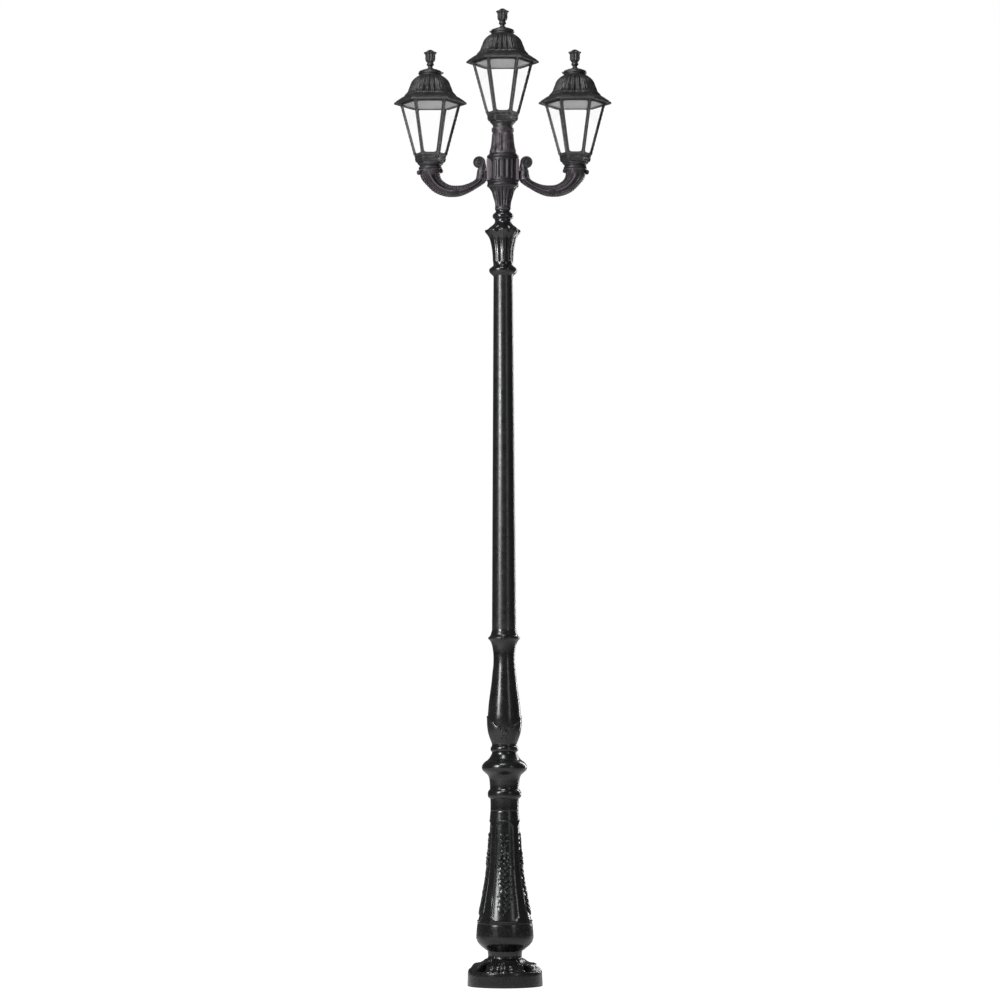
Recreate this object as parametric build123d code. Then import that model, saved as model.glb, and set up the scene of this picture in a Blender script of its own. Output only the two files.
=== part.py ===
from build123d import *
import math
import os

# Triple head lamp post: a turned and panelled post of stacked castings on one core tube,
# a fluted hub with two scrolled arms, and three six-sided lanterns with lift-off roofs.
# Millimetres, +Z up, origin on the ground at the middle of the foot, front towards -Y.

# ------------------------------------------------------------------ clearances
FIT = 0.4             # round the core tube, the nipples and the screws, on the radius
LIFT_GAP = 0.3        # under and round pieces that lift off or turn

# ------------------------------------------------------------------ round work
SIDES = 24            # flats round a turned casting
FOOT_SIDES = 40       # flats round the foot

# ------------------------------------------------------------------ foot and core
FOOT_R = 129.5
FOOT_DRAFT = 1.7
FOOT_H = 52.0
ANCHOR_PCD = 200.0
ANCHOR_COUNT = 4
ANCHOR_HOLE_R = 7.0
CORE_R = 21.2
CORE_WALL = 3.2
CORE_FLOOR = 22.0     # iron left under the core tube's socket
CABLE_ENTRY_R = 15.0  # through the floor of the socket

# ------------------------------------------------------------------ leaf mound
MOUND_H = 43.0
MOUND_R = 127.0
MOUND_GAP_R = 84.0    # between the leaves, where the anchor bolts stand
MOUND_GAP_HALF = 8.0  # degrees either side of each anchor bolt
MOUND_TOP_R = 60.5
COLLAR_R = 59.5
COLLAR_H = 24.0

# ------------------------------------------------------------------ panelled vase
VASE_H = 522.0
VASE_WALL = 8.0
VASE_BELLY_R = 98.6
VASE_FLARE_H = 43.0
VASE_SHOULDER_R = 95.1
VASE_SHOULDER_H = 51.0
VASE_TOP_R = 48.8
VASE_CURVE = 14.0     # hollow of the long neck curve under its chord
VASE_LIP_H = 20.0
PANEL_DEPTH = 2.4
PANEL_BOTTOM = 106.0
PANEL_TOP = 444.0
PANEL_CORNER = 18.0   # height of the cut corners
PANEL_HALF_BOTTOM = 33.0
PANEL_HALF_TOP = 31.0
PANEL_CUT = 12.0      # degrees taken off at each cut corner
PANEL_EDGE = 2.5      # degrees of the sloped edge

# ------------------------------------------------------------------ knop
KNOP_RING_R = 57.8
KNOP_RING_H = 33.0
KNOP_NECK_R = 50.2
KNOP_NECK_H = 40.0
KNOP_R = 78.0
KNOP_BULGE_H = 62.0
KNOP_WAIST_R = 43.3
KNOP_WAIST_H = 53.0
KNOP_BEAD_R = 47.9
KNOP_BULGE_BOW = 4.0

# ------------------------------------------------------------------ baluster
CUP_R = 60.0
CUP_H = 76.0
CUP_RIM_H = 17.0
CUP_STEP = 3.6
TAPER_H = 180.0
WAIST_R = 37.2
WAIST_H = 25.0
BELL_R = 47.0
BELL_H = 56.0
LIP_R = 55.3
LIP_H = 14.0
LIP_TAPER_H = 28.0

# ------------------------------------------------------------------ shaft
SHAFT_H = 1231.0
SHAFT_FOOT_R = 41.9
SHAFT_TOP_R = 33.7
SHAFT_WALL = 4.0

# ------------------------------------------------------------------ capital
CAP_RING_R = 49.0
CAP_RING_H = 41.0
LOTUS_PETALS = 8
LOTUS_FOOT_R = 34.3
LOTUS_R = 62.4
LOTUS_H = 115.0
LOTUS_TOP_H = 32.0
LOTUS_FLUTE = 2.2
NECK_R = 28.6
NECK_BEAD_R = 36.2
NECK_H = 46.0
NECK_TOP_R = 25.5

# ------------------------------------------------------------------ hub
FLUTES = 16
FLUTE_DEPTH = 1.6
HUB_FOOT_R = 28.2
HUB_FOOT_H = 78.5
DRUM_R = 50.0
DRUM_H = 78.0
DRUM_COLLAR_R = 55.5
DRUM_COLLAR_LOW_H = 21.0
DRUM_COLLAR_TOP_H = 17.5
HUB_HEAD_R = 47.1
HUB_HEAD_H = 78.0
HUB_HEAD_TOP_R = 37.2
HUB_HEAD_LOBES = 12
SEAT_RING_R = 39.0
SEAT_RING_H = 12.0

# ------------------------------------------------------------------ arms
ARM_REACH = 253.0     # from the post's axis to a side lantern's axis
LANTERN_DROP = 146.0  # of the side lanterns under the middle one
ARM_NECK_HALF = 19.0  # of the upright part beside the flange
ARM_LOW_X = 170.0
ARM_SAG = 86.0        # from a side seat down to the middle of the arm's lowest section
FLANGE_T = 7.0
FLANGE_HALF = 22.0
FLANGE_END_GAP = 1.5  # to the drum's collars
SCREW_R = 3.0
SCREW_HEAD_R = 5.2
SCREW_HEAD_H = 4.0
SCREW_LENGTH = 18.0
SCREW_SIDE = 17.0
SOCKET_R = 41.0
SOCKET_H = 9.0
NIPPLE_R = 12.0
NIPPLE_BORE_R = 7.0
SCROLL_R = 22.0
SCROLL_HALF = 11.0
SCROLL_BAND = 9.0
SCROLL_TURNS = 1.3
CURL_R = 7.5
CURL_HALF = 9.0

# ------------------------------------------------------------------ lantern, from its cup's lower edge
CENTRE_NECK_H = 27.0
SIDE_NECK_H = 16.0
BASE_NECK_R = 35.5
BASE_NECK_TOP_R = 46.0
BASE_SWELL_H = 14.0   # of the neck's flare under the cup
CAVITY_SUNK = 9.0     # of the hollow's floor under the cup's lower edge
CAVITY_R = 35.0
CUP_HEX_R = 51.3      # six-sided parts are given at their corners
CUP_HEX_H = 24.0
NUT_H = 11.0
CORE_NUT_R = 30.0
SIDE_NUT_R = 20.0
CAGE_R = 56.0
CAGE_TOP_R = 106.0
CAGE_H = 188.0
CAGE_WALL = 3.0
RIB_W = 7.5
RAIL_LOW = 6.0
RAIL_TOP = 11.0
WINDOW_CORNER = 9.0
PANE_T = 2.5
PANE_LAP = 4.5
TRAY_T = 2.0
GASKET_T = 1.7
GASKET_W = 8.0
STUD_R = 4.0
STUD_H = 136.0
STUD_HOLE_R = 5.0
BOARD_T = 1.6
BOARD_R = 72.0
DIFFUSER_T = 2.5
DIFFUSER_DROP = 8.0
POST_R = 3.0
POST_PCD = 158.0

# ------------------------------------------------------------------ roof and finial
ROOF_R = 127.6
ROOF_LIP_H = 10.0
ROOF_HANG = 7.4       # of the lip under the cage's top
ROOF_SKIRT_R = 110.0
ROOF_BORDER_R = 119.3
ROOF_BELL_R = 87.3
ROOF_SHOULDER_R = 66.5
ROOF_TOP_R = 39.3
ROOF_H = 101.4
ROOF_BELL_Z = 31.4
ROOF_SHOULDER_Z = 72.0
ROOF_TOP_T = 6.0
ROOF_WALL = 8.5
GADROONS = 4          # on each of the six sides
GADROON_RISE = 3.0
CAP_R = 42.0
CAP_TOP_R = 27.0
CAP_H = 20.6
CAP_SCREW_R = 3.6
CAP_SCREW_H = 5.0
FINIAL_PETALS = 6
FINIAL_FOOT_R = 13.7
FINIAL_NECK_R = 8.0
FINIAL_BEAD_R = 12.9
FINIAL_TULIP_R = 17.0
FINIAL_CROWN_R = 22.4
FINIAL_H = 71.0
FINIAL_BORE_DEPTH = 22.0

# ------------------------------------------------------------------ levels up the post
Z_MOUND = FOOT_H
Z_VASE = Z_MOUND + MOUND_H + COLLAR_H
Z_KNOP = Z_VASE + VASE_H
Z_BALUSTER = Z_KNOP + KNOP_RING_H + KNOP_NECK_H + KNOP_BULGE_H + KNOP_WAIST_H
Z_SHAFT = Z_BALUSTER + CUP_H + CUP_RIM_H + TAPER_H + WAIST_H + BELL_H + LIP_H + LIP_TAPER_H
Z_CAP_RING = Z_SHAFT + SHAFT_H
Z_HUB_FOOT = Z_CAP_RING + CAP_RING_H + LOTUS_H + LOTUS_TOP_H + NECK_H
Z_DRUM = Z_HUB_FOOT + HUB_FOOT_H
Z_FLANGE = Z_DRUM + DRUM_COLLAR_LOW_H
Z_HUB_HEAD = Z_FLANGE + DRUM_H + DRUM_COLLAR_TOP_H
Z_SEAT = Z_HUB_HEAD + HUB_HEAD_H + SEAT_RING_H
Z_CENTRE_CUP = Z_SEAT + CENTRE_NECK_H
Z_SIDE_CUP = Z_CENTRE_CUP - LANTERN_DROP
Z_SIDE_SEAT = Z_SIDE_CUP - SIDE_NECK_H

# levels in a lantern, from its cup's lower edge
Z_CAGE = CUP_HEX_H
Z_TRAY = Z_CAGE + CAGE_H
Z_GASKET = Z_TRAY + TRAY_T
Z_LEDGE = Z_GASKET + GASKET_T + LIFT_GAP
Z_LIP = Z_TRAY - ROOF_HANG
Z_CAP = Z_LIP + ROOF_H
Z_FINIAL = Z_CAP + CAP_H + LIFT_GAP

BORE = CORE_R + FIT


# ------------------------------------------------------------------ profiles
# An outline runs upwards through (radius, height) or (radius, height, rise) points: the stretch up to
# a point with a rise bows outwards by that much at its middle, and inwards where the rise is negative.
def control(start, end, rise):
    """Middle control point of the quadratic curve from START to END that bows by RISE."""
    (r0, z0), (r1, z1) = start[:2], end[:2]
    length = math.hypot(r1 - r0, z1 - z0)
    return (
        (r0 + r1) / 2.0 + 2.0 * rise * (z1 - z0) / length,
        (z0 + z1) / 2.0 + 2.0 * rise * (r0 - r1) / length,
    )


def sampled(outline, steps=3):
    """Plain (radius, height) points of an outline, with STEPS chords on each bowed stretch."""
    points = [outline[0][:2]]
    for start, end in zip(outline, outline[1:]):
        bowed = len(end) > 2
        middle = control(start, end, end[2] if bowed else 0.0)
        count = steps if bowed else 1
        for i in range(1, count + 1):
            t = i / count
            points.append(tuple(
                (1 - t) ** 2 * a + 2 * t * (1 - t) * b + t * t * d for a, b, d in zip(start, middle, end)
            ))
    return points


def radius_at(points, z):
    """Radius of a bottom-to-top outline of plain points at height Z."""
    for (r0, z0), (r1, z1) in zip(points, points[1:]):
        if z0 <= z <= z1:
            return r0 + (r1 - r0) * (z - z0) / (z1 - z0)
    return points[-1][0]


# ------------------------------------------------------------------ forms with straight sides
def section(polar, z):
    """Corners at height Z from (degrees, radius) pairs."""
    return [Vector(r * math.cos(math.radians(a)), r * math.sin(math.radians(a)), z) for a, r in polar]


def flat_facets(low, high):
    """Flat facets between two rings: one of four sides where it is flat, else two of three."""
    faces = []
    for i, corner in enumerate(low):
        j = (i + 1) % len(low)
        if (low[j] - corner).cross(high[j] - high[i]).length < 1e-6:
            outlines = [[corner, low[j], high[j], high[i]]]
        else:
            outlines = [[corner, low[j], high[j]], [corner, high[j], high[i]]]
        faces += [Face(Wire.make_polygon(outline, close=True)) for outline in outlines]
    return faces


def faceted(rings):
    """Solid through successive rings of as many corners each."""
    faces = [Face(Wire.make_polygon(ring, close=True)) for ring in (rings[0], rings[-1])]
    for low, high in zip(rings, rings[1:]):
        faces += flat_facets(low, high)
    return Solid(Shell(faces))


def ruled(levels):
    """Solid with straight sides through [(height, [(degrees, radius), ...]), ...]."""
    return faceted([section(polar, z) for z, polar in levels])


def rounds(count, radius, dip=0.0):
    """Ring of COUNT lobes, two corners each, whose valleys are DIP deep."""
    step = 180.0 / count
    return [(i * step, radius - dip * (i % 2)) for i in range(2 * count)]


def hexagon(corner_r):
    """Six corners, the first on +X."""
    return [(60.0 * i, corner_r) for i in range(6)]


def tube(r, z0, z1):
    """Plain cylinder on the axis from Z0 to Z1."""
    return Pos(0, 0, (z0 + z1) / 2.0) * Solid.make_cylinder(r, z1 - z0, Plane((0, 0, (z0 - z1) / 2.0)))


def prism(polar, z0, z1):
    """Upright prism from Z0 to Z1."""
    return ruled([(z0, polar), (z1, polar)])


def clear_hole(radius, z0, z1):
    """Twelve-sided cutter whose flats stand RADIUS from the axis, for holes that no one sees."""
    corner = radius / math.cos(math.pi / 12)
    return prism(rounds(6, corner), z0, z1)


def bored(body, radius, z0, z1):
    """BODY with a clearance hole on the axis from under Z0 to over Z1."""
    return body - clear_hole(radius, z0 - 1.0, z1 + 1.0)


def turned(outline, z=0.0):
    """Casting turned to an outline, drawn with SIDES flats and set at Z."""
    return ruled([(z + h, rounds(SIDES // 2, r)) for r, h in outline])


def nut(corner_r, bore_r, z):
    """Six-sided nut standing at Z."""
    return bored(prism(hexagon(corner_r), z, z + NUT_H), bore_r, z, z + NUT_H)


# ------------------------------------------------------------------ post
def base_foot():
    """Heavy disc with a socket for the core tube, a cable entry and four anchor holes."""
    levels = ((0.0, FOOT_R), (FOOT_H, FOOT_R - FOOT_DRAFT))
    foot = ruled([(h, rounds(FOOT_SIDES // 2, r)) for h, r in levels])
    foot -= tube(CABLE_ENTRY_R, -1.0, FOOT_H) + clear_hole(BORE, CORE_FLOOR, FOOT_H + 1.0)
    for i in range(ANCHOR_COUNT):
        angle = math.radians(45.0 + 360.0 / ANCHOR_COUNT * i)
        spot = Pos(ANCHOR_PCD / 2 * math.cos(angle), ANCHOR_PCD / 2 * math.sin(angle), 0)
        foot -= spot * tube(ANCHOR_HOLE_R, -1.0, FOOT_H + 1.0)
    return foot


def core_tube():
    """Steel tube that runs up through every casting to the nut on the middle lantern's floor."""
    top = Z_CENTRE_CUP - CAVITY_SUNK + NUT_H
    return tube(CORE_R, CORE_FLOOR, top) - tube(CORE_R - CORE_WALL, CORE_FLOOR - 1.0, top + 1.0)


def mound_ring(lobe_r, gap_r):
    """Four broad leaves over a lower ground, parted on the anchor bolts' diagonals."""
    edge = 45.0 - MOUND_GAP_HALF
    swells = ((-1.0, 0.0), (-0.8, 1.0), (-0.4, 0.95), (0.0, 1.0), (0.4, 0.95), (0.8, 1.0), (1.0, 0.0))
    polar = []
    for quarter in range(4):
        for share, swell in swells:
            polar.append((90.0 * quarter + edge * share, gap_r + (lobe_r - gap_r) * swell))
        polar.append((90.0 * quarter + 45.0, gap_r))
    return polar


def base_rosette():
    """Leaf mound with the plain collar above it."""
    leaf = [
        (MOUND_R, 0.0),
        (MOUND_R - 10.0, 0.17 * MOUND_H),
        (MOUND_R - 21.0, 0.57 * MOUND_H),
        (MOUND_R - 40.0, 0.63 * MOUND_H),
        (MOUND_R - 56.0, 0.82 * MOUND_H),
        (MOUND_TOP_R, MOUND_H),
    ]
    ground = sampled([(MOUND_GAP_R, 0.0), (MOUND_TOP_R, MOUND_H, 2.0)])
    levels = [(h, mound_ring(r, min(r, radius_at(ground, h)))) for r, h in leaf]
    height = MOUND_H + COLLAR_H
    levels += [(h, mound_ring(COLLAR_R, COLLAR_R)) for h in (MOUND_H + 1.0, height)]
    return Pos(0, 0, Z_MOUND) * bored(ruled(levels), BORE, 0.0, height)


def vase_outline():
    """Flare, belly, shoulder and long hollow neck."""
    return sampled([
        (COLLAR_R, 0.0),
        (VASE_BELLY_R, VASE_FLARE_H, 5.0),
        (VASE_SHOULDER_R, VASE_FLARE_H + VASE_SHOULDER_H),
        (VASE_TOP_R, VASE_H - VASE_LIP_H, -VASE_CURVE),
        (VASE_TOP_R, VASE_H),
    ], 4)


def vase_ring(radius, half, depth):
    """Ring with a sunk panel on each of the four sides; HALF is its half width in degrees."""
    sunk, polar = radius - depth, []
    for quarter in range(4):
        at = 90.0 * quarter
        polar += [(at - half - PANEL_EDGE, radius), (at - half, sunk), (at - half / 2, sunk), (at, sunk)]
        polar += [(at + half / 2, sunk), (at + half, sunk), (at + half + PANEL_EDGE, radius)]
    return polar


def base_vase():
    """Hollow vase with four sunk panels that have cut corners."""
    outline = vase_outline()
    low, high = PANEL_BOTTOM, PANEL_TOP
    heights = {h: 0.0 for _, h in outline if h < low - 8.0 or h > high + 8.0}
    heights.update({h: PANEL_DEPTH for _, h in outline if low + PANEL_CORNER < h < high - PANEL_CORNER})
    heights.update({low - 2.0: 0.0, low: PANEL_DEPTH, low + PANEL_CORNER: PANEL_DEPTH})
    heights.update({high + 2.0: 0.0, high: PANEL_DEPTH, high - PANEL_CORNER: PANEL_DEPTH})
    levels = []
    for h in sorted(heights):
        share = min(max((h - low) / (high - low), 0.0), 1.0)
        half = PANEL_HALF_BOTTOM + (PANEL_HALF_TOP - PANEL_HALF_BOTTOM) * share
        if h <= low or h >= high:
            half -= PANEL_CUT
        lift = PANEL_DEPTH if low <= h <= high else 0.0
        levels.append((h, vase_ring(radius_at(outline, h) + lift, half, heights[h])))
    inside = [
        (COLLAR_R - VASE_WALL, 0.0),
        (VASE_BELLY_R - 1.6 * VASE_WALL, VASE_FLARE_H),
        (VASE_SHOULDER_R - 1.6 * VASE_WALL, VASE_FLARE_H + VASE_SHOULDER_H),
        (VASE_TOP_R - VASE_WALL, 0.7 * VASE_H),
        (VASE_TOP_R - VASE_WALL, VASE_H),
    ]
    hollow = ruled([(h, rounds(8, r)) for r, h in inside])
    return Pos(0, 0, Z_VASE) * (ruled(levels) - hollow)


def knop():
    """Ring, neck, large knop and a small bead, in one casting."""
    low = KNOP_RING_H + KNOP_NECK_H
    high = low + KNOP_BULGE_H
    height = high + KNOP_WAIST_H
    bulge_foot = KNOP_NECK_R + 3.1
    outline = sampled([
        (KNOP_NECK_R, 0.0),
        (0.5 * (KNOP_NECK_R + KNOP_RING_R) + 2.0, 0.18 * KNOP_RING_H),
        (KNOP_RING_R, 0.5 * KNOP_RING_H),
        (0.5 * (KNOP_NECK_R + KNOP_RING_R) + 2.0, 0.82 * KNOP_RING_H),
        (KNOP_NECK_R, KNOP_RING_H),
        (bulge_foot, low),
        (KNOP_R, low + 0.5 * KNOP_BULGE_H, KNOP_BULGE_BOW),
        (bulge_foot, high, KNOP_BULGE_BOW),
        (KNOP_WAIST_R, high + 0.38 * KNOP_WAIST_H),
        (KNOP_BEAD_R, high + 0.68 * KNOP_WAIST_H),
        (KNOP_BEAD_R, high + 0.84 * KNOP_WAIST_H),
        (KNOP_WAIST_R, height),
    ])
    return bored(turned(outline, Z_KNOP), BORE, Z_KNOP, Z_KNOP + height)


def baluster():
    """Leaf cup, long taper, waist and bell with a sharp lip that carries the shaft."""
    rim = CUP_H + CUP_RIM_H
    waist = rim + TAPER_H
    bell = waist + WAIST_H + BELL_H
    height = bell + LIP_H + LIP_TAPER_H
    outline = sampled([
        (KNOP_WAIST_R, 0.0),
        (CUP_R, CUP_H, 4.9),
        (CUP_R, rim),
        (CUP_R - CUP_STEP, rim + 6.0),
        (WAIST_R, waist, 0.6),
        (WAIST_R, waist + WAIST_H),
        (BELL_R, bell, -2.2),
        (LIP_R, bell + 0.5 * LIP_H),
        (LIP_R, bell + 0.8 * LIP_H),
        (BELL_R, bell + LIP_H),
        (SHAFT_FOOT_R, height),
    ])
    return bored(turned(outline, Z_BALUSTER), BORE, Z_BALUSTER, Z_BALUSTER + height)


def shaft_tube():
    """Long tapered tube."""
    outer = [(SHAFT_FOOT_R, 0.0), (SHAFT_TOP_R, SHAFT_H)]
    slope = (SHAFT_TOP_R - SHAFT_FOOT_R) / SHAFT_H
    inner = [(SHAFT_FOOT_R + slope * h - SHAFT_WALL, h) for h in (-1.0, SHAFT_H + 1.0)]
    return turned(outer, Z_SHAFT) - turned(inner, Z_SHAFT)


def petal_ring(radius, dip):
    """Ring of rounded petals parted by valleys DIP deep, with a petal's middle to the front."""
    polar, pitch = [], 360.0 / LOTUS_PETALS
    for i in range(LOTUS_PETALS):
        for share, depth in ((-0.5, 1.0), (-0.2, 0.1), (0.2, 0.1)):
            polar.append(((i + share) * pitch, radius - dip * depth))
    return polar


def capital():
    """Ring, lotus of petals that curl out to a scalloped rim, and the neck bead above it."""
    foot = CAP_RING_H
    rim = foot + LOTUS_H
    neck = rim + LOTUS_TOP_H
    height = neck + NECK_H
    plain = [
        (SHAFT_TOP_R + 1.9, 0.0),
        (CAP_RING_R - 2.5, 0.3 * CAP_RING_H),
        (CAP_RING_R, 0.5 * CAP_RING_H),
        (CAP_RING_R - 7.5, 0.76 * CAP_RING_H),
        (LOTUS_FOOT_R, foot),
    ]
    lotus = sampled([
        (LOTUS_FOOT_R + 0.5, foot + 0.2 * LOTUS_H),
        (0.76 * LOTUS_R, foot + 0.84 * LOTUS_H, -3.0),
        (LOTUS_R, rim),
        (LOTUS_R - 2.0, rim + 6.0),
        (NECK_R + 14.0, rim + 0.7 * LOTUS_TOP_H),
    ], 2)
    top = [
        (NECK_R, neck),
        (NECK_R, neck + 0.26 * NECK_H),
        (NECK_BEAD_R, neck + 0.4 * NECK_H),
        (NECK_BEAD_R, neck + 0.66 * NECK_H),
        (NECK_TOP_R, neck + 0.86 * NECK_H),
        (HUB_FOOT_R, height),
    ]
    levels = [(h, petal_ring(r, 0.0)) for r, h in plain]
    levels += [(h, petal_ring(r, LOTUS_FLUTE * r / LOTUS_FOOT_R)) for r, h in lotus]
    levels += [(h, petal_ring(r, 0.0)) for r, h in top]
    return Pos(0, 0, Z_CAP_RING) * bored(ruled(levels), BORE, 0.0, height)


def hub_foot():
    """Fluted trumpet that widens up to the drum."""
    outline = sampled([
        (HUB_FOOT_R, 0.0),
        (HUB_FOOT_R - 0.4, 0.2 * HUB_FOOT_H),
        (0.86 * DRUM_R, 0.86 * HUB_FOOT_H, -1.6),
        (DRUM_R, HUB_FOOT_H),
    ], 2)
    levels = [(h, rounds(FLUTES, r, FLUTE_DEPTH)) for r, h in outline]
    return Pos(0, 0, Z_HUB_FOOT) * bored(ruled(levels), BORE, 0.0, HUB_FOOT_H)


def hub_drum():
    """Fluted drum between two plain collars, tapped for the arms' screws."""
    low, high = DRUM_COLLAR_LOW_H, DRUM_COLLAR_LOW_H + DRUM_H
    height = high + DRUM_COLLAR_TOP_H
    collar = rounds(FLUTES, DRUM_COLLAR_R)
    flutes = rounds(FLUTES, DRUM_R, FLUTE_DEPTH)
    levels = [
        (0.0, collar), (low - 0.4, collar), (low, flutes),
        (high, flutes), (high + 0.4, collar), (height, collar),
    ]
    drum = Pos(0, 0, Z_DRUM) * bored(ruled(levels), BORE, 0.0, height)
    for hole in screw_places():
        drum -= hole * prism(hexagon(SCREW_R + FIT), -SCREW_LENGTH - FIT, -FLANGE_T + 4.0)
    return drum


def hub_head():
    """Leafy upper taper and the plain ring that seats the middle lantern."""
    outline = sampled([
        (HUB_HEAD_R, 0.0),
        (HUB_HEAD_R - 0.7, 0.15 * HUB_HEAD_H),
        (HUB_HEAD_TOP_R, HUB_HEAD_H, -2.6),
    ], 2)
    levels = [(h, rounds(HUB_HEAD_LOBES, r, FLUTE_DEPTH)) for r, h in outline]
    height = HUB_HEAD_H + SEAT_RING_H
    levels += [(h, rounds(HUB_HEAD_LOBES, SEAT_RING_R)) for h in (HUB_HEAD_H + 1.5, height)]
    return Pos(0, 0, Z_HUB_HEAD) * bored(ruled(levels), BORE, 0.0, height)


# ------------------------------------------------------------------ arms
FLANGE_FACE = DRUM_R + FLANGE_T
FLANGE_LOW = Z_FLANGE + FLANGE_END_GAP
FLANGE_TOP = Z_FLANGE + DRUM_H - FLANGE_END_GAP
NECK_X = FLANGE_FACE + ARM_NECK_HALF
SCROLL_X = FLANGE_FACE + SCROLL_R + 2.0
SCROLL_Z = FLANGE_TOP - 0.35 * SCROLL_R


def screw_places():
    """Outward-pointing places of the flange screws, two on each arm."""
    z = 0.5 * (FLANGE_LOW + FLANGE_TOP)
    places = []
    for side in (1, -1):
        for across in (SCREW_SIDE, -SCREW_SIDE):
            places.append(Location(Plane((side * FLANGE_FACE, across, z), z_dir=(side, 0, 0))))
    return places


def arm_path():
    """Centre line of the right arm: down beside the drum, out, along and up to the socket."""
    start = Vector(NECK_X, 0, SCROLL_Z - 0.8 * SCROLL_R)
    low = Vector(ARM_LOW_X, 0, Z_SIDE_SEAT - ARM_SAG)
    end = Vector(ARM_REACH, 0, Z_SIDE_SEAT - SOCKET_H + 1.0)
    reach, drop = low.X - start.X, start.Z - low.Z
    bend = start + Vector(0.12 * reach, 0, -0.60 * drop)
    slope = start + Vector(0.46 * reach, 0, -0.84 * drop)
    rise = low + Vector(0.68 * (end.X - low.X), 0, 0.22 * (end.Z - low.Z))
    return Spline(start, bend, slope, low, rise, end, tangents=[(0, 0, -1), (0, 0, 1)])


def arm_section(path, at, half_w, half_d):
    """Section across the path: a round middle rib between two thinner edge bands."""
    centre, along = path @ at, path % at
    across = Vector(along.Z, 0, -along.X)
    shape = ((1.0, 0.45), (0.5, 0.66), (0.25, 1.0), (-0.25, 1.0), (-0.5, 0.66), (-1.0, 0.45))
    corners = [(w, d) for w, d in shape] + [(w, -d) for w, d in reversed(shape)]
    return [centre + across * (w * half_w) + Vector(0, d * half_d, 0) for w, d in corners]


def scroll():
    """Flat band over the neck that curls outwards and in, with an open gap between its turns."""
    outer, inner = [], []
    steps = 15
    for i in range(steps + 1):
        t = i / steps
        angle = math.radians(225.0 - 360.0 * SCROLL_TURNS * t)
        r_out = SCROLL_R * (1.0 - 0.62 * t)
        r_in = r_out - SCROLL_BAND * (1.0 - 0.35 * t)
        for ring, r in ((outer, r_out), (inner, r_in)):
            ring.append((SCROLL_X + r * math.cos(angle), -SCROLL_HALF, SCROLL_Z + r * math.sin(angle)))
    face = Face(Wire.make_polygon(outer + inner[::-1], close=True))
    return Solid.extrude(face, Vector(0, 2.0 * SCROLL_HALF, 0))


def curl(x, z):
    """Small solid curl across the arm."""
    place = Location(Plane((x, -CURL_HALF, z), z_dir=(0, 1, 0)))
    return place * prism(rounds(6, CURL_R), 0.0, 2.0 * CURL_HALF)


def right_arm():
    """One casting: flange, scrolled neck, swept arm and the socket with its nipple."""
    path = arm_path()
    neck = ARM_NECK_HALF
    stations = (
        (0.0, neck, 11.0), (0.12, neck, 12.0), (0.2, 0.87 * neck, 13.0), (0.3, 0.8 * neck, 13.0),
        (0.41, 0.9 * neck, 13.0), (0.53, 1.1 * neck, 13.5), (0.66, 1.2 * neck, 15.0),
        (0.78, 1.36 * neck, 19.0), (0.9, 0.5 * (1.36 * neck + SOCKET_R - 3.0), 27.0),
        (1.0, SOCKET_R - 3.0, SOCKET_R - 4.0),
    )
    arm = faceted([arm_section(path, *s) for s in stations])
    base = Z_SIDE_SEAT - SOCKET_H
    top = Z_SIDE_CUP - CAVITY_SUNK + NUT_H
    socket = prism(rounds(12, SOCKET_R), base, Z_SIDE_SEAT) + tube(NIPPLE_R, base, top)
    arm += Pos(ARM_REACH, 0, 0) * socket
    deep = FLANGE_T + 0.5 * DRUM_R
    plate = Box(deep, 2 * FLANGE_HALF, FLANGE_TOP - FLANGE_LOW)
    arm += Pos(FLANGE_FACE - deep / 2, 0, (FLANGE_LOW + FLANGE_TOP) / 2) * plate
    foot_z = SCROLL_Z - 0.8 * SCROLL_R
    root = Box(2 * ARM_NECK_HALF, 2 * SCROLL_HALF, SCROLL_R)
    arm += Pos(NECK_X, 0, foot_z) * root
    arm += scroll()
    arm += curl(ARM_REACH + SOCKET_R, base - CURL_R - 3.0) + curl(ARM_REACH - SOCKET_R + 3.0, base - CURL_R + 2.0)
    arm -= prism(rounds(FLUTES, DRUM_R), FLANGE_LOW - 1.0, FLANGE_TOP + 1.0)
    arm -= Pos(ARM_REACH, 0, 0) * clear_hole(NIPPLE_BORE_R, base - 20.0, top + 1.0)
    for hole in screw_places()[:2]:
        arm -= hole * prism(hexagon(SCREW_R + FIT), -0.5 * DRUM_R, 1.0)
    return arm


def arm_screws():
    """Four hex-headed screws that hold the flanges to the drum."""
    screw = prism(hexagon(SCREW_HEAD_R), 0.0, SCREW_HEAD_H) + prism(hexagon(SCREW_R), -SCREW_LENGTH, 1.0)
    return Compound([(place * screw).solid() for place in screw_places()])


# ------------------------------------------------------------------ lantern, from its cup's lower edge
def lantern_base(neck_h, hole_r):
    """Flared neck under a six-sided cup, hollow above its floor for the nut."""
    swell = [
        (BASE_NECK_R + 1.5, -BASE_SWELL_H),
        (0.95 * BASE_NECK_TOP_R, -0.78 * BASE_SWELL_H),
        (BASE_NECK_TOP_R, 0.0),
    ]
    body = ruled([(h, rounds(9, r)) for r, h in [(BASE_NECK_R, -neck_h)] + swell])
    body += ruled([
        (0.0, hexagon(CUP_HEX_R)),
        (0.55 * CUP_HEX_H, hexagon(0.5 * (CUP_HEX_R + CAGE_R) + 1.2)),
        (Z_CAGE, hexagon(CAGE_R)),
    ])
    body -= prism(rounds(6, CAVITY_R), -CAVITY_SUNK, Z_CAGE + 1.0)
    return bored(body, hole_r, -neck_h, -CAVITY_SUNK)


CAGE_LEAN = math.atan2((CAGE_TOP_R - CAGE_R) * math.cos(math.pi / 6), CAGE_H)
SIDE_LENGTH = CAGE_H / math.cos(CAGE_LEAN)


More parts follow.
